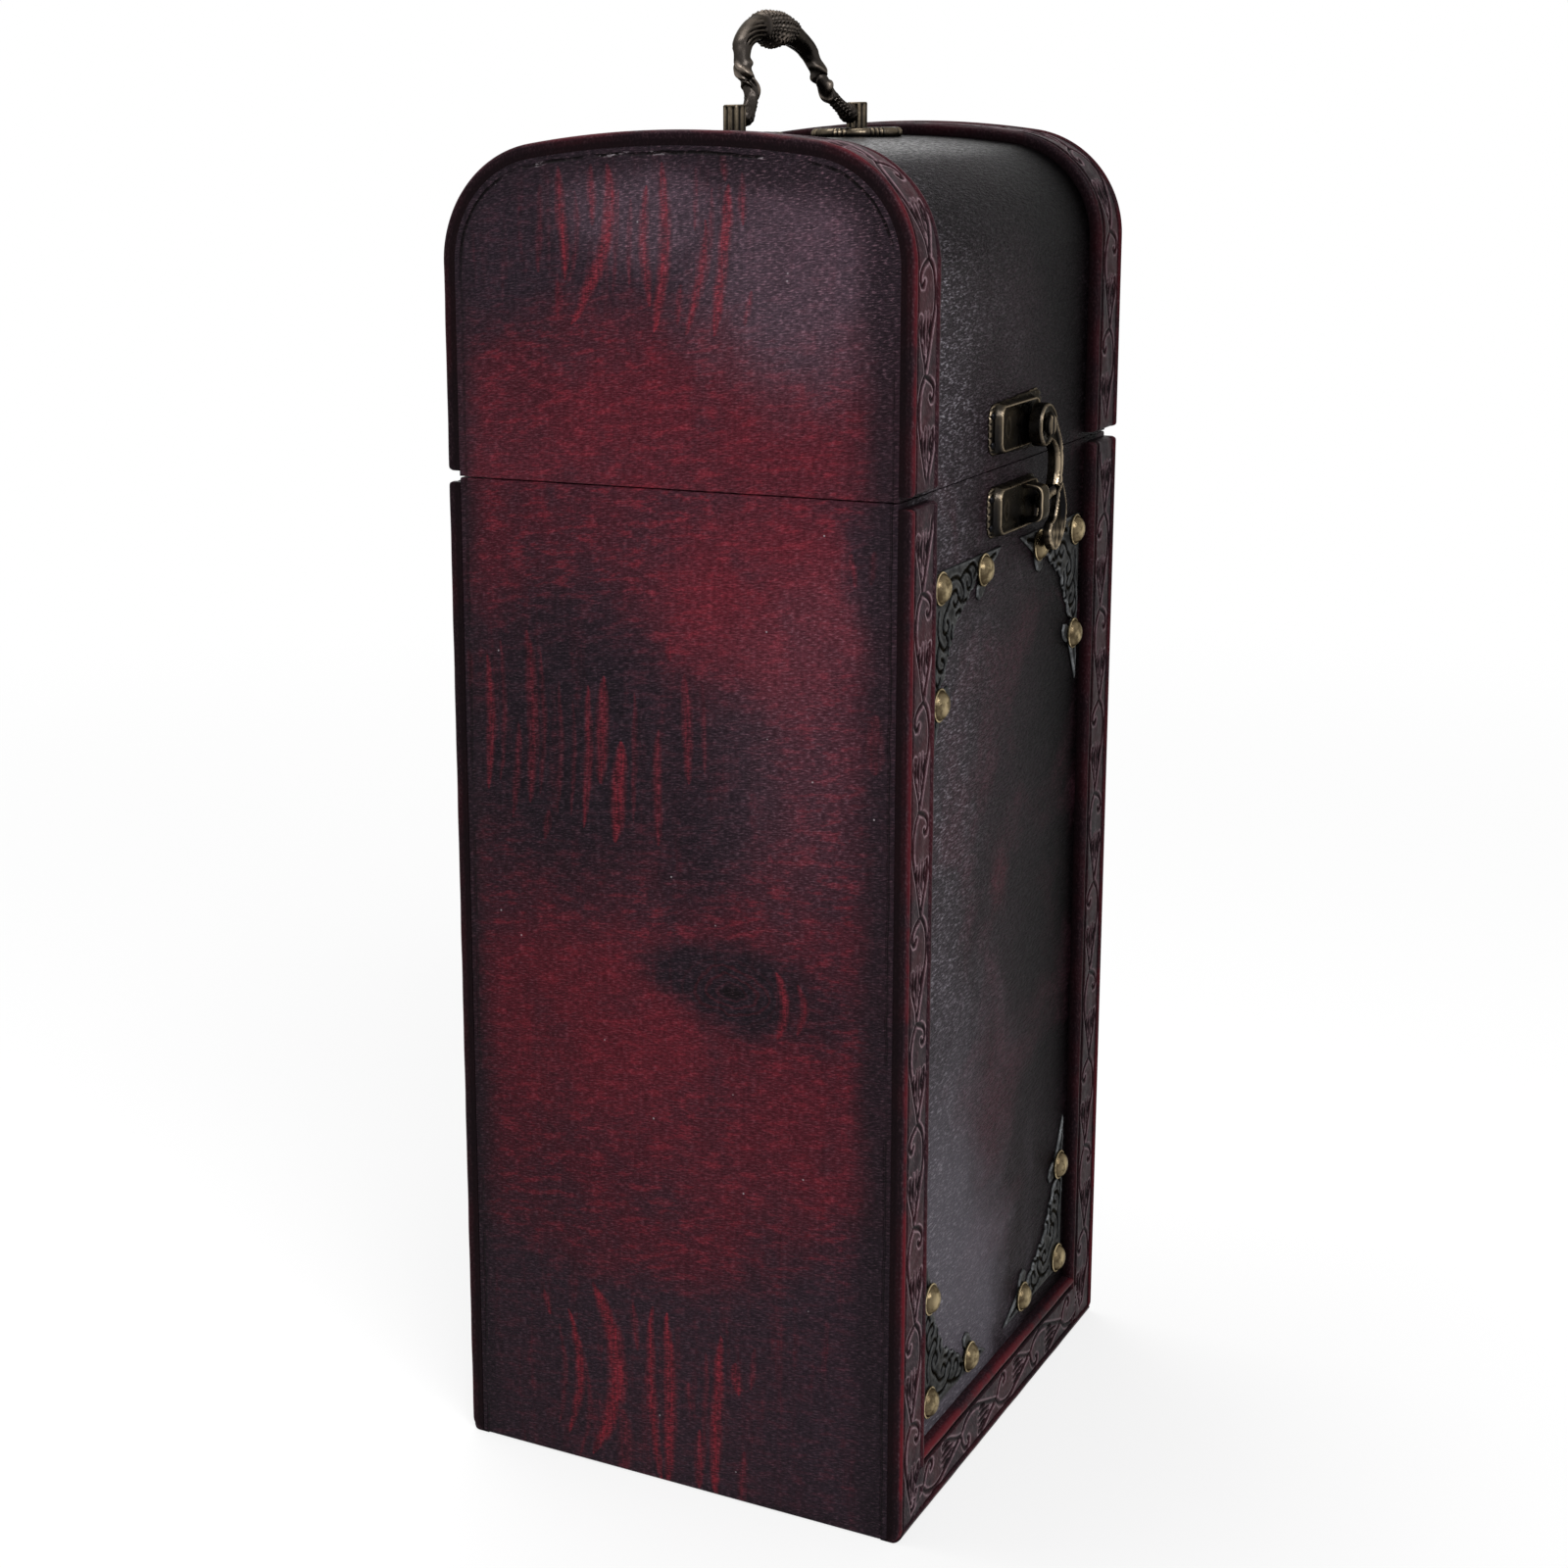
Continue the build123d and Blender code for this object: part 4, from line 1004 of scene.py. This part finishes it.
# A tack's radius, height to the front and brightness, from the middle of its dome to the end of its shank.
# The bright top of the dome is rubbed brass and also a painted highlight.
TACK = (
    (0, 2.3, 0.95), (0.9, 2.26, 0.9), (1.7, 2.1, 0.75), (2.3, 1.85, 0.55), (2.8, 1.5, 0.35),
    (3.15, 1.12, 0.3), (3.4, 0.72, 0.2), (3.55, 0.46, 0.1), (3.75, 0.5, 0.95), (4.0, 0.36, 1.0),
    (4.0, 0.0, 0.2), (0.8, 0.0, 0.2), (0.8, -3.6, 0.2), (0, -3.8, 0.2),
)
TACK_PLACES = ((3.8, 3.8), (31.4, 3.8), (3.8, 31.4))


class WINEBOX_OT_tacks(Operator):
    """Turn the domed tacks that hold the corner plates"""

    bl_idname = "wine_box.tacks"
    bl_label = "Tacks"

    def execute(self, context):
        surface = box_mm("lower_left_corner_plate")[0].y
        tacks = [
            turned(TACK, (x - side * along, surface, z + way * up), 32)
            for _, side, way, x, z in plate_corners() for along, up in TACK_PLACES
        ]
        finish_piece(joined(tacks), "domed_tacks", "aged_brass", "box", "corner_tacks")
        return {"FINISHED"}


# Latch

PIVOT = PIVOT_X, PIVOT_Z = 9.3, 262.0
HOOK_BACK = -59.9
EYE_RADIUS = 5.4
# A plate's raised body: its half width and height, and the radius of its corners
BODY_X, BODY_Z, BODY_ROUND = 13.9, 6.2, 3.6


def polar(angle, radius):
    """A point at an angle from straight down about the hook's rivet."""
    turn = radians(angle)
    return (PIVOT_X + radius * sin(turn), PIVOT_Z - radius * cos(turn))


def plate_rise(centre):
    """Height and brightness of a latch plate: a raised dished body, and low notched ends for its pins."""

    def rise(x, z, edge):
        over_x, over_z = np.abs(x) - BODY_X + BODY_ROUND, np.abs(z - centre) - BODY_Z + BODY_ROUND
        outside = np.hypot(np.maximum(over_x, 0), np.maximum(over_z, 0))
        inside = BODY_ROUND - outside - np.minimum(np.maximum(over_x, over_z), 0)
        body, rim = ramp(inside, -0.2, 0.75), bell(inside, 0.85, 0.24)
        dent = bell(np.hypot(x + 8.0, (z - centre) / 1.6), 1.5, 0.3)
        ends = ramp(np.abs(x), 13.6, 14.2) * (1 - ramp(edge, 0.7, 1.5))
        ticks = unit(np.cos((z - centre) * tau / 1.7)) ** 2 * ends
        height = 0.75 + 1.6 * body + 0.26 * rim - 0.3 * ramp(inside, 1.0, 2.4)
        height = height - 0.16 * dent - 0.4 * (1 - ramp(edge, 0.0, 0.25)) * (1 - body) - 0.3 * ticks
        # mottle: the body's face painted lighter towards its upper left, a painted sheen
        mottle = 0.1 + 0.14 * ramp(x, 4.0, -6.0) * ramp(z - centre, -4.0, 4.0)
        # outer: a painted highlight along the outline, stronger to the right
        outer = 0.5 * bell(edge, 0.12, 0.12) * (0.35 + 0.65 * ramp(x, 6.0, 12.0))
        return height, unit(
            0.95 * rim + 0.03 + mottle * (1 - rim) + 0.12 * dent + 0.22 * ends - 0.3 * ticks + outer
        )

    return rise


def eye_and_arm():
    """The hook's eye and arm: a thick eye with a dark face, and two ridges that run down the arm."""
    eye = [polar(a, EYE_RADIUS) for a in np.linspace(150, 392, 34)]
    inner = smooth_line([
        polar(40, EYE_RADIUS), polar(49, 8.0), polar(48, 11.6), polar(36, 15.3), polar(26, 17.6)
    ])
    outer = smooth_line([
        polar(33, 20.8), polar(42, 17.95), polar(62, 13.19), polar(86, 7.9), polar(118, 6.0), polar(150, 5.42)
    ])

    def rise(x, z, edge):
        away = np.hypot(x - PIVOT_X, z - PIVOT_Z)
        on_eye = ramp(z - (PIVOT_Z - 4.6) - (x - PIVOT_X + 3.5) * 0.33, -0.25, 0.15) * ramp(-away, -6.6, -5.9)
        ridge, step, bore = bell(edge, 0.42, 0.3), bell(on_eye, 0.6, 0.25), ramp(-away, -3.3, -2.9)
        height = 2.35 + 0.75 * ridge + on_eye * (0.78 - 0.55 * ridge) - 0.5 * (1 - ramp(edge, 0.0, 0.32))
        lower = ramp(-z, -258.0, -252.0)
        bright = ridge * (0.75 + 0.25 * lower) + 0.6 * step - 0.6 * bore + 0.05 + 0.2 * lower
        return np.minimum(height, 3.3) - 0.5 * bore, unit(bright)

    return relief(np.concatenate([eye, inner, outer[:-1]]), rise, HOOK_BACK, 0.32)


def thumb_leaf():
    """The dished thumb leaf below the arm, with a bright rim and brassy blotches."""
    right = smooth_line([
        polar(36, 19.3), polar(35.5, 22.5), polar(33.2, 26.6), polar(26.6, 30.0), polar(17, 32.8)
    ])
    left = smooth_line([
        polar(17, 32.8), polar(11, 32.7), polar(6.5, 30.2), polar(4.6, 27.2), polar(8.5, 25.2)
    ])
    root = smooth_line([
        polar(8.5, 25.2), polar(11.5, 25.0), polar(16, 24.4), polar(22, 21.6), polar(26, 19.6)
    ])

    def rise(x, z, edge):
        rim, dish, low = bell(edge, 0.3, 0.22), ramp(edge, 0.5, 2.4), ramp(-z, -238.5, -233.5)
        height = (
            1.8 + 0.28 * rim - 0.7 * dish * (1 - 0.5 * low) - 0.4 * (1 - ramp(edge, 0.0, 0.22)) + 0.2 * low
        )
        blotch = low * (
            0.55 + 0.35 * np.sin(x * 1.3 + z * 0.9) * np.cos(z * 1.5 - x) + 0.2 * np.sin(x * 4 - z * 3)
        )
        return height, unit(0.95 * rim + 0.95 * blotch + 0.05)

    return relief(np.concatenate([right[:-1], left[:-1], root]), rise, HOOK_BACK - 1.4, 0.32)


def finger():
    """The finger that turns under the bridge."""
    angles = np.linspace(1.2, 27.0, 16)
    outline = np.array([polar(a, 17.8) for a in angles] + [polar(a, 20.8) for a in angles[::-1]])

    def rise(x, z, edge):
        angle = np.degrees(np.arctan2(x - PIVOT_X, PIVOT_Z - z))
        ridge = bell(edge, 1.2, 0.5)
        height = 1.95 + 0.35 * ridge + 0.75 * ramp(angle, 19.5, 26.5) - 0.6 * (1 - ramp(edge, 0.0, 0.5))
        return height, unit(0.1 + 0.75 * ridge * ramp(angle, 2, 10))

    return relief(outline[::-1], rise, HOOK_BACK, 0.4)


# The bridge's line, y and z, and its two sides
BRIDGE = (
    (-57.8, 238.8), (-60.5, 238.8), (-62.6, 239.3), (-63.2, 240.6), (-63.2, 243.0), (-63.2, 245.4),
    (-62.6, 246.7), (-60.5, 247.2), (-57.8, 247.2),
)
BRIDGE_LOW, BRIDGE_HIGH = 3.87, 9.27


def bridge_bar():
    """The raised bridge on the lower plate, as a bar bent out, along and back."""
    path = smooth_line(BRIDGE, 5)
    last = len(path) - 1
    step = np.gradient(path, axis=0)
    out = np.stack([step[:, 1], -step[:, 0]], -1) / np.hypot(*step.T)[:, None]

    def place(turn, row, sideways, outward):
        across = np.sign(outward) * np.abs(outward) ** 0.35 * (BRIDGE_HIGH - BRIDGE_LOW) / 2
        over = np.sign(sideways) * np.abs(sideways) ** 0.35 * 0.6
        y, z = (path[row] + out[row] * over[:, None]).T
        bright = unit(0.3 + 0.7 * (np.abs(outward) > 0.6) * (np.abs(sideways) > 0.3))
        return (
            np.stack([(BRIDGE_LOW + BRIDGE_HIGH) / 2 + across, y, z], -1), bright * ramp(row / last, 0.1, 0.3)
        )

    return wrapped(28, last, place)


def slotted_rivet():
    """The rivet that the hook turns on, with a slot in its round head."""

    def rise(x, z, edge):
        slot = bell(x, PIVOT_X + 0.06 * (z - PIVOT_Z), 0.62, 6)
        lip = bell(np.abs(x - PIVOT_X), 1.0, 0.25)
        height = 1.25 - 0.45 * (1 - ramp(edge, 0.0, 0.6)) - 0.4 * slot
        return height, unit(0.6 + 0.4 * lip - 1.2 * slot - 0.5 * (1 - ramp(edge, 0.0, 0.5)))

    head = relief(oblong(2.7, 2.7, 2.69, PIVOT, 10), rise, -63.15, 0.2)
    shank = turned(((0, 6.0, 0.2), (1.5, 6.0, 0.2), (1.5, 0, 0.2), (0, 0, 0.2)), (PIVOT_X, -57.4, PIVOT_Z))
    return joined([head, shank])


class WINEBOX_OT_latch(Operator):
    """Cast the latch: two plates, the bridge, the hook and its slotted rivet"""

    bl_idname = "wine_box.latch"
    bl_label = "Latch"

    def execute(self, context):
        for level, body in (("upper", "lid"), ("lower", "box")):
            node = f"latch_{level}_plate"
            low, high = box_mm(node)
            centre = (low.z + high.z) / 2
            outline = oblong(16.5, 6.2, 3.4, (0, centre))
            if level == "upper":
                # A wider lobe behind the hook's eye
                share = ramp(outline[:, 0], 9.0, 14.0)
                outline = outline + np.stack([2.3 * share, np.sign(outline[:, 1] - centre) * 1.1 * share], -1)
            bm = relief(outline, plate_rise(centre), high.y, 0.3)
            if level == "lower":
                bm = joined([bm, bridge_bar()])
            finish_piece(bm, "cast_" + node, "antique_bronze", body, node)
        hook = joined([eye_and_arm(), thumb_leaf(), finger()])
        finish_piece(hook, "cast_latch_hook", "antique_bronze", "hook", "latch_hook")
        finish_piece(
            slotted_rivet(), "slotted_rivet", "antique_bronze", "lid", "latch_rivet"
        )
        return {"FINISHED"}


# Handle

BAIL_PIVOT = 337.2
BAIL_LEAN = radians(18)
# Half of the bail from its pin to the middle: distance from the middle, height over the pivot, radius
BAIL_HALF = (
    (37.2, 0.0, 0.95), (34.2, 0.0, 0.95), (33.3, 0.0, 1.0), (32.6, 0.0, 1.9), (31.2, 0.05, 2.35),
    (29.8, 0.55, 2.2), (28.0, 1.5, 1.75), (25.8, 2.9, 1.6), (24.2, 4.6, 1.6), (23.5, 6.6, 1.65),
    (23.35, 8.9, 1.8), (23.4, 11.2, 1.8), (22.9, 13.7, 1.9), (21.6, 16.2, 2.0), (19.4, 18.3, 2.2),
    (15.4, 20.2, 2.5), (10.3, 21.5, 2.9), (5.2, 22.1, 3.3),
)


def chasing(turn, x, q, sideways, outward):
    """What the bail's relief adds to its radius, and the bright threads between the near arm's gouges.

    q is the distance from the nearer pin along the bail, and x is the distance from its middle.
    """
    side = np.sign(x + 1e-9)
    # Scaly lower arm, and the stippled ball under it
    scale = (q / 1.3 + 0.5 * np.cos(turn * 4)) % 1.0
    added = ramp(q, 6.0, 8.0) * (1 - ramp(q, 14.5, 16.0)) * (0.26 * scale - 0.1)
    added += ramp(q, 4.2, 5.0) * (1 - ramp(q, 7.0, 8.2)) * 0.14 * np.cos(q * 5.2) * np.cos(turn * 9)
    # Two overlapped leaf knots
    for middle, lean_out in ((18.2, -1.0), (22.6, 1.0)):
        at = q - middle + 1.5 * lean_out * outward + 0.9 * sideways * side
        rib = np.cos(turn * 3 + 1.5 * at * side + lean_out)
        leaf = 0.4 + 0.35 * lean_out * outward + 0.38 * np.sign(rib) * np.abs(rib) ** 0.7
        added += bell(np.abs(at), 0, 1.75, 2.2) * leaf - 0.3 * bell(at, -2.0, 0.3)
    # Curved gouges inside the near band, four keels along the far one
    band = ramp(q, 26.5, 28.5) * (1 - ramp(q, 38.5, 39.5))
    near, inside = band * (side < 0), ramp(-outward, -0.72, -0.5)
    fan = (q * 0.34 + 2.8 * np.abs(np.abs(turn - pi) - 0.2)) % 1.3
    thread = bell(fan, 0.12, 0.16) * inside * near
    added += near * (0.3 * ramp(outward, -0.2, 0.5) - 0.6 * bell(fan, 0.65, 0.26) * inside)
    added += 0.3 * bell(np.sin(turn * 2.0), 0, 0.28) * band * (side > 0)
    # Stippled barrel with its bumps, and the tilted rings beside it
    tilt = x - 0.9 * outward
    knobs = np.cos(tilt * tau / 1.7 + np.floor(turn * 12 / tau) * pi) * np.cos(turn * 12)
    added += ramp(tilt, -8.6, -7.6) * (1 - ramp(tilt, 6.2, 7.0)) * (0.2 + 0.34 * knobs)
    added += (
        0.42 * bell(x, -5.4, 2.2) * ramp(outward, 0.1, 0.9)
        + 0.6 * bell(x, -1.0, 2.4) * ramp(-outward, 0.3, 0.95)
    )
    added += bell(tilt, 7.6, 0.55) * (0.3 + 0.2 * np.cos(turn * 22)) + bell(tilt, -8.4, 0.5) * 0.3
    return added * ramp(q, 3.9, 4.6), thread


def bail_surface():
    """The bail from its near pin to its far one. Its far arm leans in more."""
    near, far = np.array(BAIL_HALF), np.array(BAIL_HALF[::-1])
    near[:, 1] += 0.5 * bell(near[:, 0], 8.0, 6.0)
    near[:, 0] *= -1
    far[:, 0] *= 1 - 0.2 * ramp(far[:, 1], 2.0, 13.0)
    far[:, 1] -= 0.7 * bell(far[:, 0], 13.0, 6.0)
    line = smooth_line(np.concatenate([near, [(0, 22.2, 3.9)], far]), 22)
    step = np.gradient(line[:, :2], axis=0)
    step /= np.hypot(*step.T)[:, None]
    arc = np.concatenate([[0], np.cumsum(np.hypot(*np.diff(line[:, :2], axis=0).T))])
    places = np.linspace(0, arc[-1], 520)
    x, up, radius = (np.interp(places, arc, line[:, index]) for index in range(3))
    out_x, out_up = np.interp(places, arc, -step[:, 1]), np.interp(places, arc, step[:, 0])
    bright = 0.2 + 0.12 * np.sin(places * 0.9) * np.sin(places * 0.37 + 1.0)

    def place(turn, row, sideways, outward):
        q = np.minimum(places[row], arc[-1] - places[row])
        added, thread = chasing(turn, x[row], q, sideways, outward)
        reach = radius[row] + added
        height = up[row] + out_up[row] * outward * reach
        across = sideways * reach / (1.0 - 0.12 * ramp(q, 24, 28))
        y = across * cos(BAIL_LEAN) + height * sin(BAIL_LEAN)
        z = BAIL_PIVOT + height * cos(BAIL_LEAN) - across * sin(BAIL_LEAN)
        crest = np.clip(1.4 * (added - 0.25) + 0.5 * thread, -0.2, 0.6)
        return np.stack([x[row] + out_x[row] * outward * reach, y, z], -1), unit(bright[row] + crest)

    return wrapped(96, len(places) - 1, place)


# Sections of a post and of a base plate: radius, height and brightness
POST_FOOT = 333.7
POST_RING = (
    (2.7, 0.0, 0.6), (2.7, 1.2, 0.7), (2.7, 3.2, 0.85), (2.7, 5.2, 0.9), (2.7, 5.7, 0.9), (2.68, 6.15, 0.5),
    (2.45, 6.45, 0.9), (2.0, 6.5, 0.6), (0.0, 6.5, 0.5),
)
ROSETTE_FOOT = 331.5
CROWN_CENTRE, SHEET_RADIUS = 89.0, 242.5
ROSETTE_RING = (
    (2.0, 2.2, 0.3), (6.0, 2.2, 0.3), (8.6, 2.2, 0.3), (9.3, 1.95, 0.1), (9.9, 2.2, 0.6), (10.9, 2.15, 0.7),
    (11.5, 1.9, 0.9), (12.0, 1.3, 0.8), (12.0, 0.6, 0.5), (11.6, 0.0, 0.2), (6.0, 0.0, 0.0), (2.0, 0.0, 0.0),
    (2.0, 2.2, 0.3),
)


def fluted_post(middle):
    """A short post with rubbed flutes and a flat top."""

    def place(turn, row, sideways, outward):
        radius, up, bright = np.array(POST_RING)[row].T
        flute = bell(np.cos(turn * 5), 0, 0.55) * (up < 6.0)
        radius = radius - 0.34 * flute
        position = np.stack([middle + radius * outward, radius * sideways, POST_FOOT + up], -1)
        return position, bright * (0.8 - 0.65 * flute)

    return wrapped(80, len(POST_RING) - 1, place)


def rosette_disc(middle):
    """A base plate bedded on the crown, whose rim has broad lobes between groups of fine ribs."""

    def place(turn, row, sideways, outward):
        radius, up, bright = np.array(ROSETTE_RING)[row].T
        group = np.cos(turn * 7)
        ribs = 0.22 * np.cos(turn * 56) * ramp(-group, 0.1, 0.4)
        petals = 0.16 * np.cos(turn * 14) * bell(radius, 6.5, 2.4) * (up > 1.5)
        far = radius + ramp(radius, 9.6, 11.8) * (ribs + 0.35 * ramp(group, -0.1, 0.6) - 0.5)
        y = far * sideways
        bed = CROWN_CENTRE + np.sqrt(SHEET_RADIUS ** 2 - y ** 2)
        top = ROSETTE_FOOT + up + petals - 0.16 * (up > 2.1) * (radius < 9)
        position = np.stack([middle + far * outward, y, np.where(up > 1.0, top, bed + up)], -1)
        return position, unit(bright * (0.62 + 1.6 * ribs))

    return wrapped(224, len(ROSETTE_RING) - 1, place)


class WINEBOX_OT_handle(Operator):
    """Cast the carrying bail and the two lobed base plates under its posts"""

    bl_idname = "wine_box.handle"
    bl_label = "Handle"

    def execute(self, context):
        finish_piece(
            bail_surface(), "cast_handle_bail", "dark_bronze", "handle", "handle_bail"
        )
        for _, hand in HANDS:
            low, high = box_mm(f"handle_{hand}_rosette")
            for make, word, part in ((rosette_disc, "cast", "rosette"), (fluted_post, "fluted", "post")):
                node = f"handle_{hand}_{part}"
                bm = make((low.x + high.x) / 2)
                finish_piece(bm, f"{word}_{node}", "antique_bronze", "lid", node)
        return {"FINISHED"}


# Hinges

HINGE_SCREW_APART = 13.0
HINGE_SCREW_RISE = 7.9


def cross_screw(x, y, z, turn):
    """A domed screw with a cross recess, whose head looks to the back."""

    def rise(px, pz, edge):
        arm_x, arm_z = px * cos(turn) + pz * sin(turn), pz * cos(turn) - px * sin(turn)
        arms = np.minimum(np.abs(arm_x), np.abs(arm_z))
        recess = (1 - ramp(arms, 0.16, 0.3)) * (1 - ramp(np.hypot(px, pz), 0.9, 1.2))
        height = 0.7 - 0.4 * (1 - ramp(edge, 0.0, 0.8)) - 0.35 * recess
        return height, unit(0.75 - 0.8 * recess - 0.3 * (1 - ramp(edge, 0, 0.3)))

    head = relief(oblong(1.8, 1.8, 1.79, (0, 0), 8), rise, 0.0, 0.15)
    shank = turned(((0, 0.1, 0.2), (0.9, 0.1, 0.2), (0.9, -3.4, 0.2), (0, -3.4, 0.2)), (0, 0, 0), 16)
    screw = joined([head, shank])
    bmesh.ops.rotate(screw, verts=screw.verts, cent=(0, 0, 0), matrix=Matrix.Rotation(pi, 3, "Z"))
    bmesh.ops.translate(screw, verts=screw.verts, vec=Vector((x, y, z)) * MM)
    return screw


class WINEBOX_OT_hinges(Operator):
    """Turn the screws of the two hinges"""

    bl_idname = "wine_box.hinges"
    bl_label = "Hinges"

    def execute(self, context):
        for body, rise, turn in (("box", -HINGE_SCREW_RISE, 0.4), ("lid", HINGE_SCREW_RISE, 0.9)):
            screws = []
            for hand in ("left", "right"):
                low, high = box_mm(f"hinge_{hand}_{body}_leaf")
                for number, side in enumerate((-1, 1)):
                    x = (low.x + high.x) / 2 + side * HINGE_SCREW_APART / 2
                    screws.append(cross_screw(x, FACE_Y + 1.0, SEAM + rise, turn + 0.7 * number))
            finish_piece(
                joined(screws), f"cross_screws_{body}", "screw_steel", body,
                f"hinge_{body}_screws",
            )
        return {"FINISHED"}


# Nodes that stay as they are


class WINEBOX_OT_boards(Operator):
    """Stain the side boards and lacquer the front, back, bottom and lid sheet"""

    bl_idname = "wine_box.boards"
    bl_label = "Boards"

    def execute(self, context):
        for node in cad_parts:
            if node.endswith("side_panel"):
                dress(node, "stained_lid_side" if node.startswith("lid_") else "stained_box_side", 0.4)
            elif node.endswith("_panel") or node == "lid_shell":
                dress(node, "charcoal_lacquer", 0.3)
        return {"FINISHED"}


class WINEBOX_OT_metal(Operator):
    """Give the fittings that stay as they are their metal finishes"""

    bl_idname = "wine_box.metal"
    bl_label = "Fittings"

    def execute(self, context):
        for node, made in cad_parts.items():
            if node.startswith(("latch", "handle", "hinge")) and not made.hide_render:
                dress(node, "screw_steel" if "screws" in node else "antique_bronze")
        return {"FINISHED"}


# Stage


def soft_lamp(name, place, target, size, power):
    """A large soft lamp that looks at a point."""
    data = bpy.data.lights.new(name, "AREA")
    data.shape = "RECTANGLE"
    data.size, data.size_y = size
    data.energy = power
    made = bpy.data.objects.new(name, data)
    made.location = place
    made.rotation_euler = (Vector(target) - Vector(place)).to_track_quat("-Z", "Y").to_euler()
    bpy.context.scene.collection.objects.link(made)


def shown_rays(g):
    """1 for camera, mirror-like and see-through rays, which see the plain white background."""
    path = g.node("ShaderNodeLightPath").outputs
    return highest(*(Wire(g, path[f"Is {kind} Ray"]) for kind in ("Camera", "Transmission", "Glossy")))


def white_world(daylight):
    world = bpy.data.worlds.new("studio")
    bpy.context.scene.world = world
    world.use_nodes = True
    world.node_tree.nodes.clear()
    g = Graph(world.node_tree)
    strength = shown_rays(g).spread(0.0, 1.0, daylight, 1.0)
    g.node("ShaderNodeOutputWorld", (g.wire("ShaderNodeBackground", ((1.0, 1.0, 1.0), strength)),))


def pale_floor():
    """A wide pale floor that shows white and keeps a soft shadow."""
    bm = bmesh.new()
    bmesh.ops.create_grid(bm, x_segments=1, y_segments=1, size=30.0)
    bmesh.ops.translate(bm, verts=bm.verts, vec=(0, 0, -0.0002))
    mesh = bpy.data.meshes.new("floor")
    bm.to_mesh(mesh)
    bm.free()
    floor = bpy.data.objects.new("floor", mesh)
    bpy.context.scene.collection.objects.link(floor)
    made, g, shader, surface = new_material("pale_floor")
    g.put(shader.inputs["Base Color"], (0.82, 0.82, 0.82))
    g.put(shader.inputs["Roughness"], 0.9)
    g.put(shader.inputs["Specular IOR Level"], 0.0)
    away = g.place().length().spread(0.25, 1.1, 0.72, 1.0)
    glow = g.wire("ShaderNodeEmission")
    g.put(surface, g.wire("ShaderNodeMixShader", (shown_rays(g) * away, Wire(g, shader.outputs[0]), glow)))
    mesh.materials.append(made)


class WINEBOX_OT_stage(Operator):
    """Set up the camera, the soft lamps, the white surroundings and the pale floor"""

    bl_idname = "wine_box.stage"
    bl_label = "Stage"

    def execute(self, context):
        settings = context.scene.wine_box_stage
        data = bpy.data.cameras.new("camera")
        data.sensor_width = 36.0
        data.lens = settings.lens
        data.shift_x, data.shift_y = settings.shift_x, settings.shift_y
        data.clip_start, data.clip_end = 0.01, 100.0
        camera = bpy.data.objects.new("camera", data)
        azimuth, elevation = radians(settings.azimuth), radians(settings.elevation)
        back = Vector((sin(azimuth) * cos(elevation), -cos(azimuth) * cos(elevation), sin(elevation)))
        turn = (
            (-back).to_track_quat("-Z", "Y").to_matrix() @ Euler((0, 0, radians(settings.roll))).to_matrix()
        )
        camera.matrix_world = Matrix.Translation(settings.place) @ turn.to_4x4()
        context.scene.collection.objects.link(camera)
        context.scene.camera = camera
        white_world(settings.daylight)
        pale_floor()
        soft_lamp("key", (-0.9, -0.9, 1.2), (0, 0, 0.17), (0.8, 0.8), 21)
        soft_lamp("top", (0.1, 0.35, 1.3), (0, 0, 0.3), (0.8, 0.5), 10)
        context.scene.view_settings.view_transform = "Standard"
        return {"FINISHED"}


class WINEBOX_PT_panel(Panel):
    bl_idname = "WINEBOX_PT_panel"
    bl_label = "Wine Box"
    bl_space_type = "VIEW_3D"
    bl_region_type = "UI"
    bl_category = "Wine Box"

    def draw(self, context):
        for step in STEPS:
            self.layout.operator(step.bl_idname)
        for name in SETTINGS:
            group = getattr(context.scene, name)
            for key in group.bl_rna.properties.keys():
                if key not in ("rna_type", "name"):
                    self.layout.prop(group, key)


STEPS = (
    WINEBOX_OT_boards, WINEBOX_OT_mouldings, WINEBOX_OT_corners, WINEBOX_OT_tacks, WINEBOX_OT_latch,
    WINEBOX_OT_handle, WINEBOX_OT_hinges, WINEBOX_OT_metal, WINEBOX_OT_stage,
)
SETTINGS = {
    "wine_box_stain": StainSettings,
    "wine_box_moulding": MouldingSettings,
    "wine_box_stage": StageSettings,
}


def register():
    for name, group in SETTINGS.items():
        bpy.utils.register_class(group)
        setattr(bpy.types.Scene, name, PointerProperty(type=group))
    for item in (*STEPS, WINEBOX_PT_panel):
        bpy.utils.register_class(item)


def unregister():
    for item in (WINEBOX_PT_panel, *reversed(STEPS)):
        bpy.utils.unregister_class(item)
    for name, group in SETTINGS.items():
        delattr(bpy.types.Scene, name)
        bpy.utils.unregister_class(group)


def main():
    register()
    for step in STEPS:
        area, name = step.bl_idname.split(".")
        getattr(getattr(bpy.ops, area), name)()


if __name__ == "__main__":
    main()
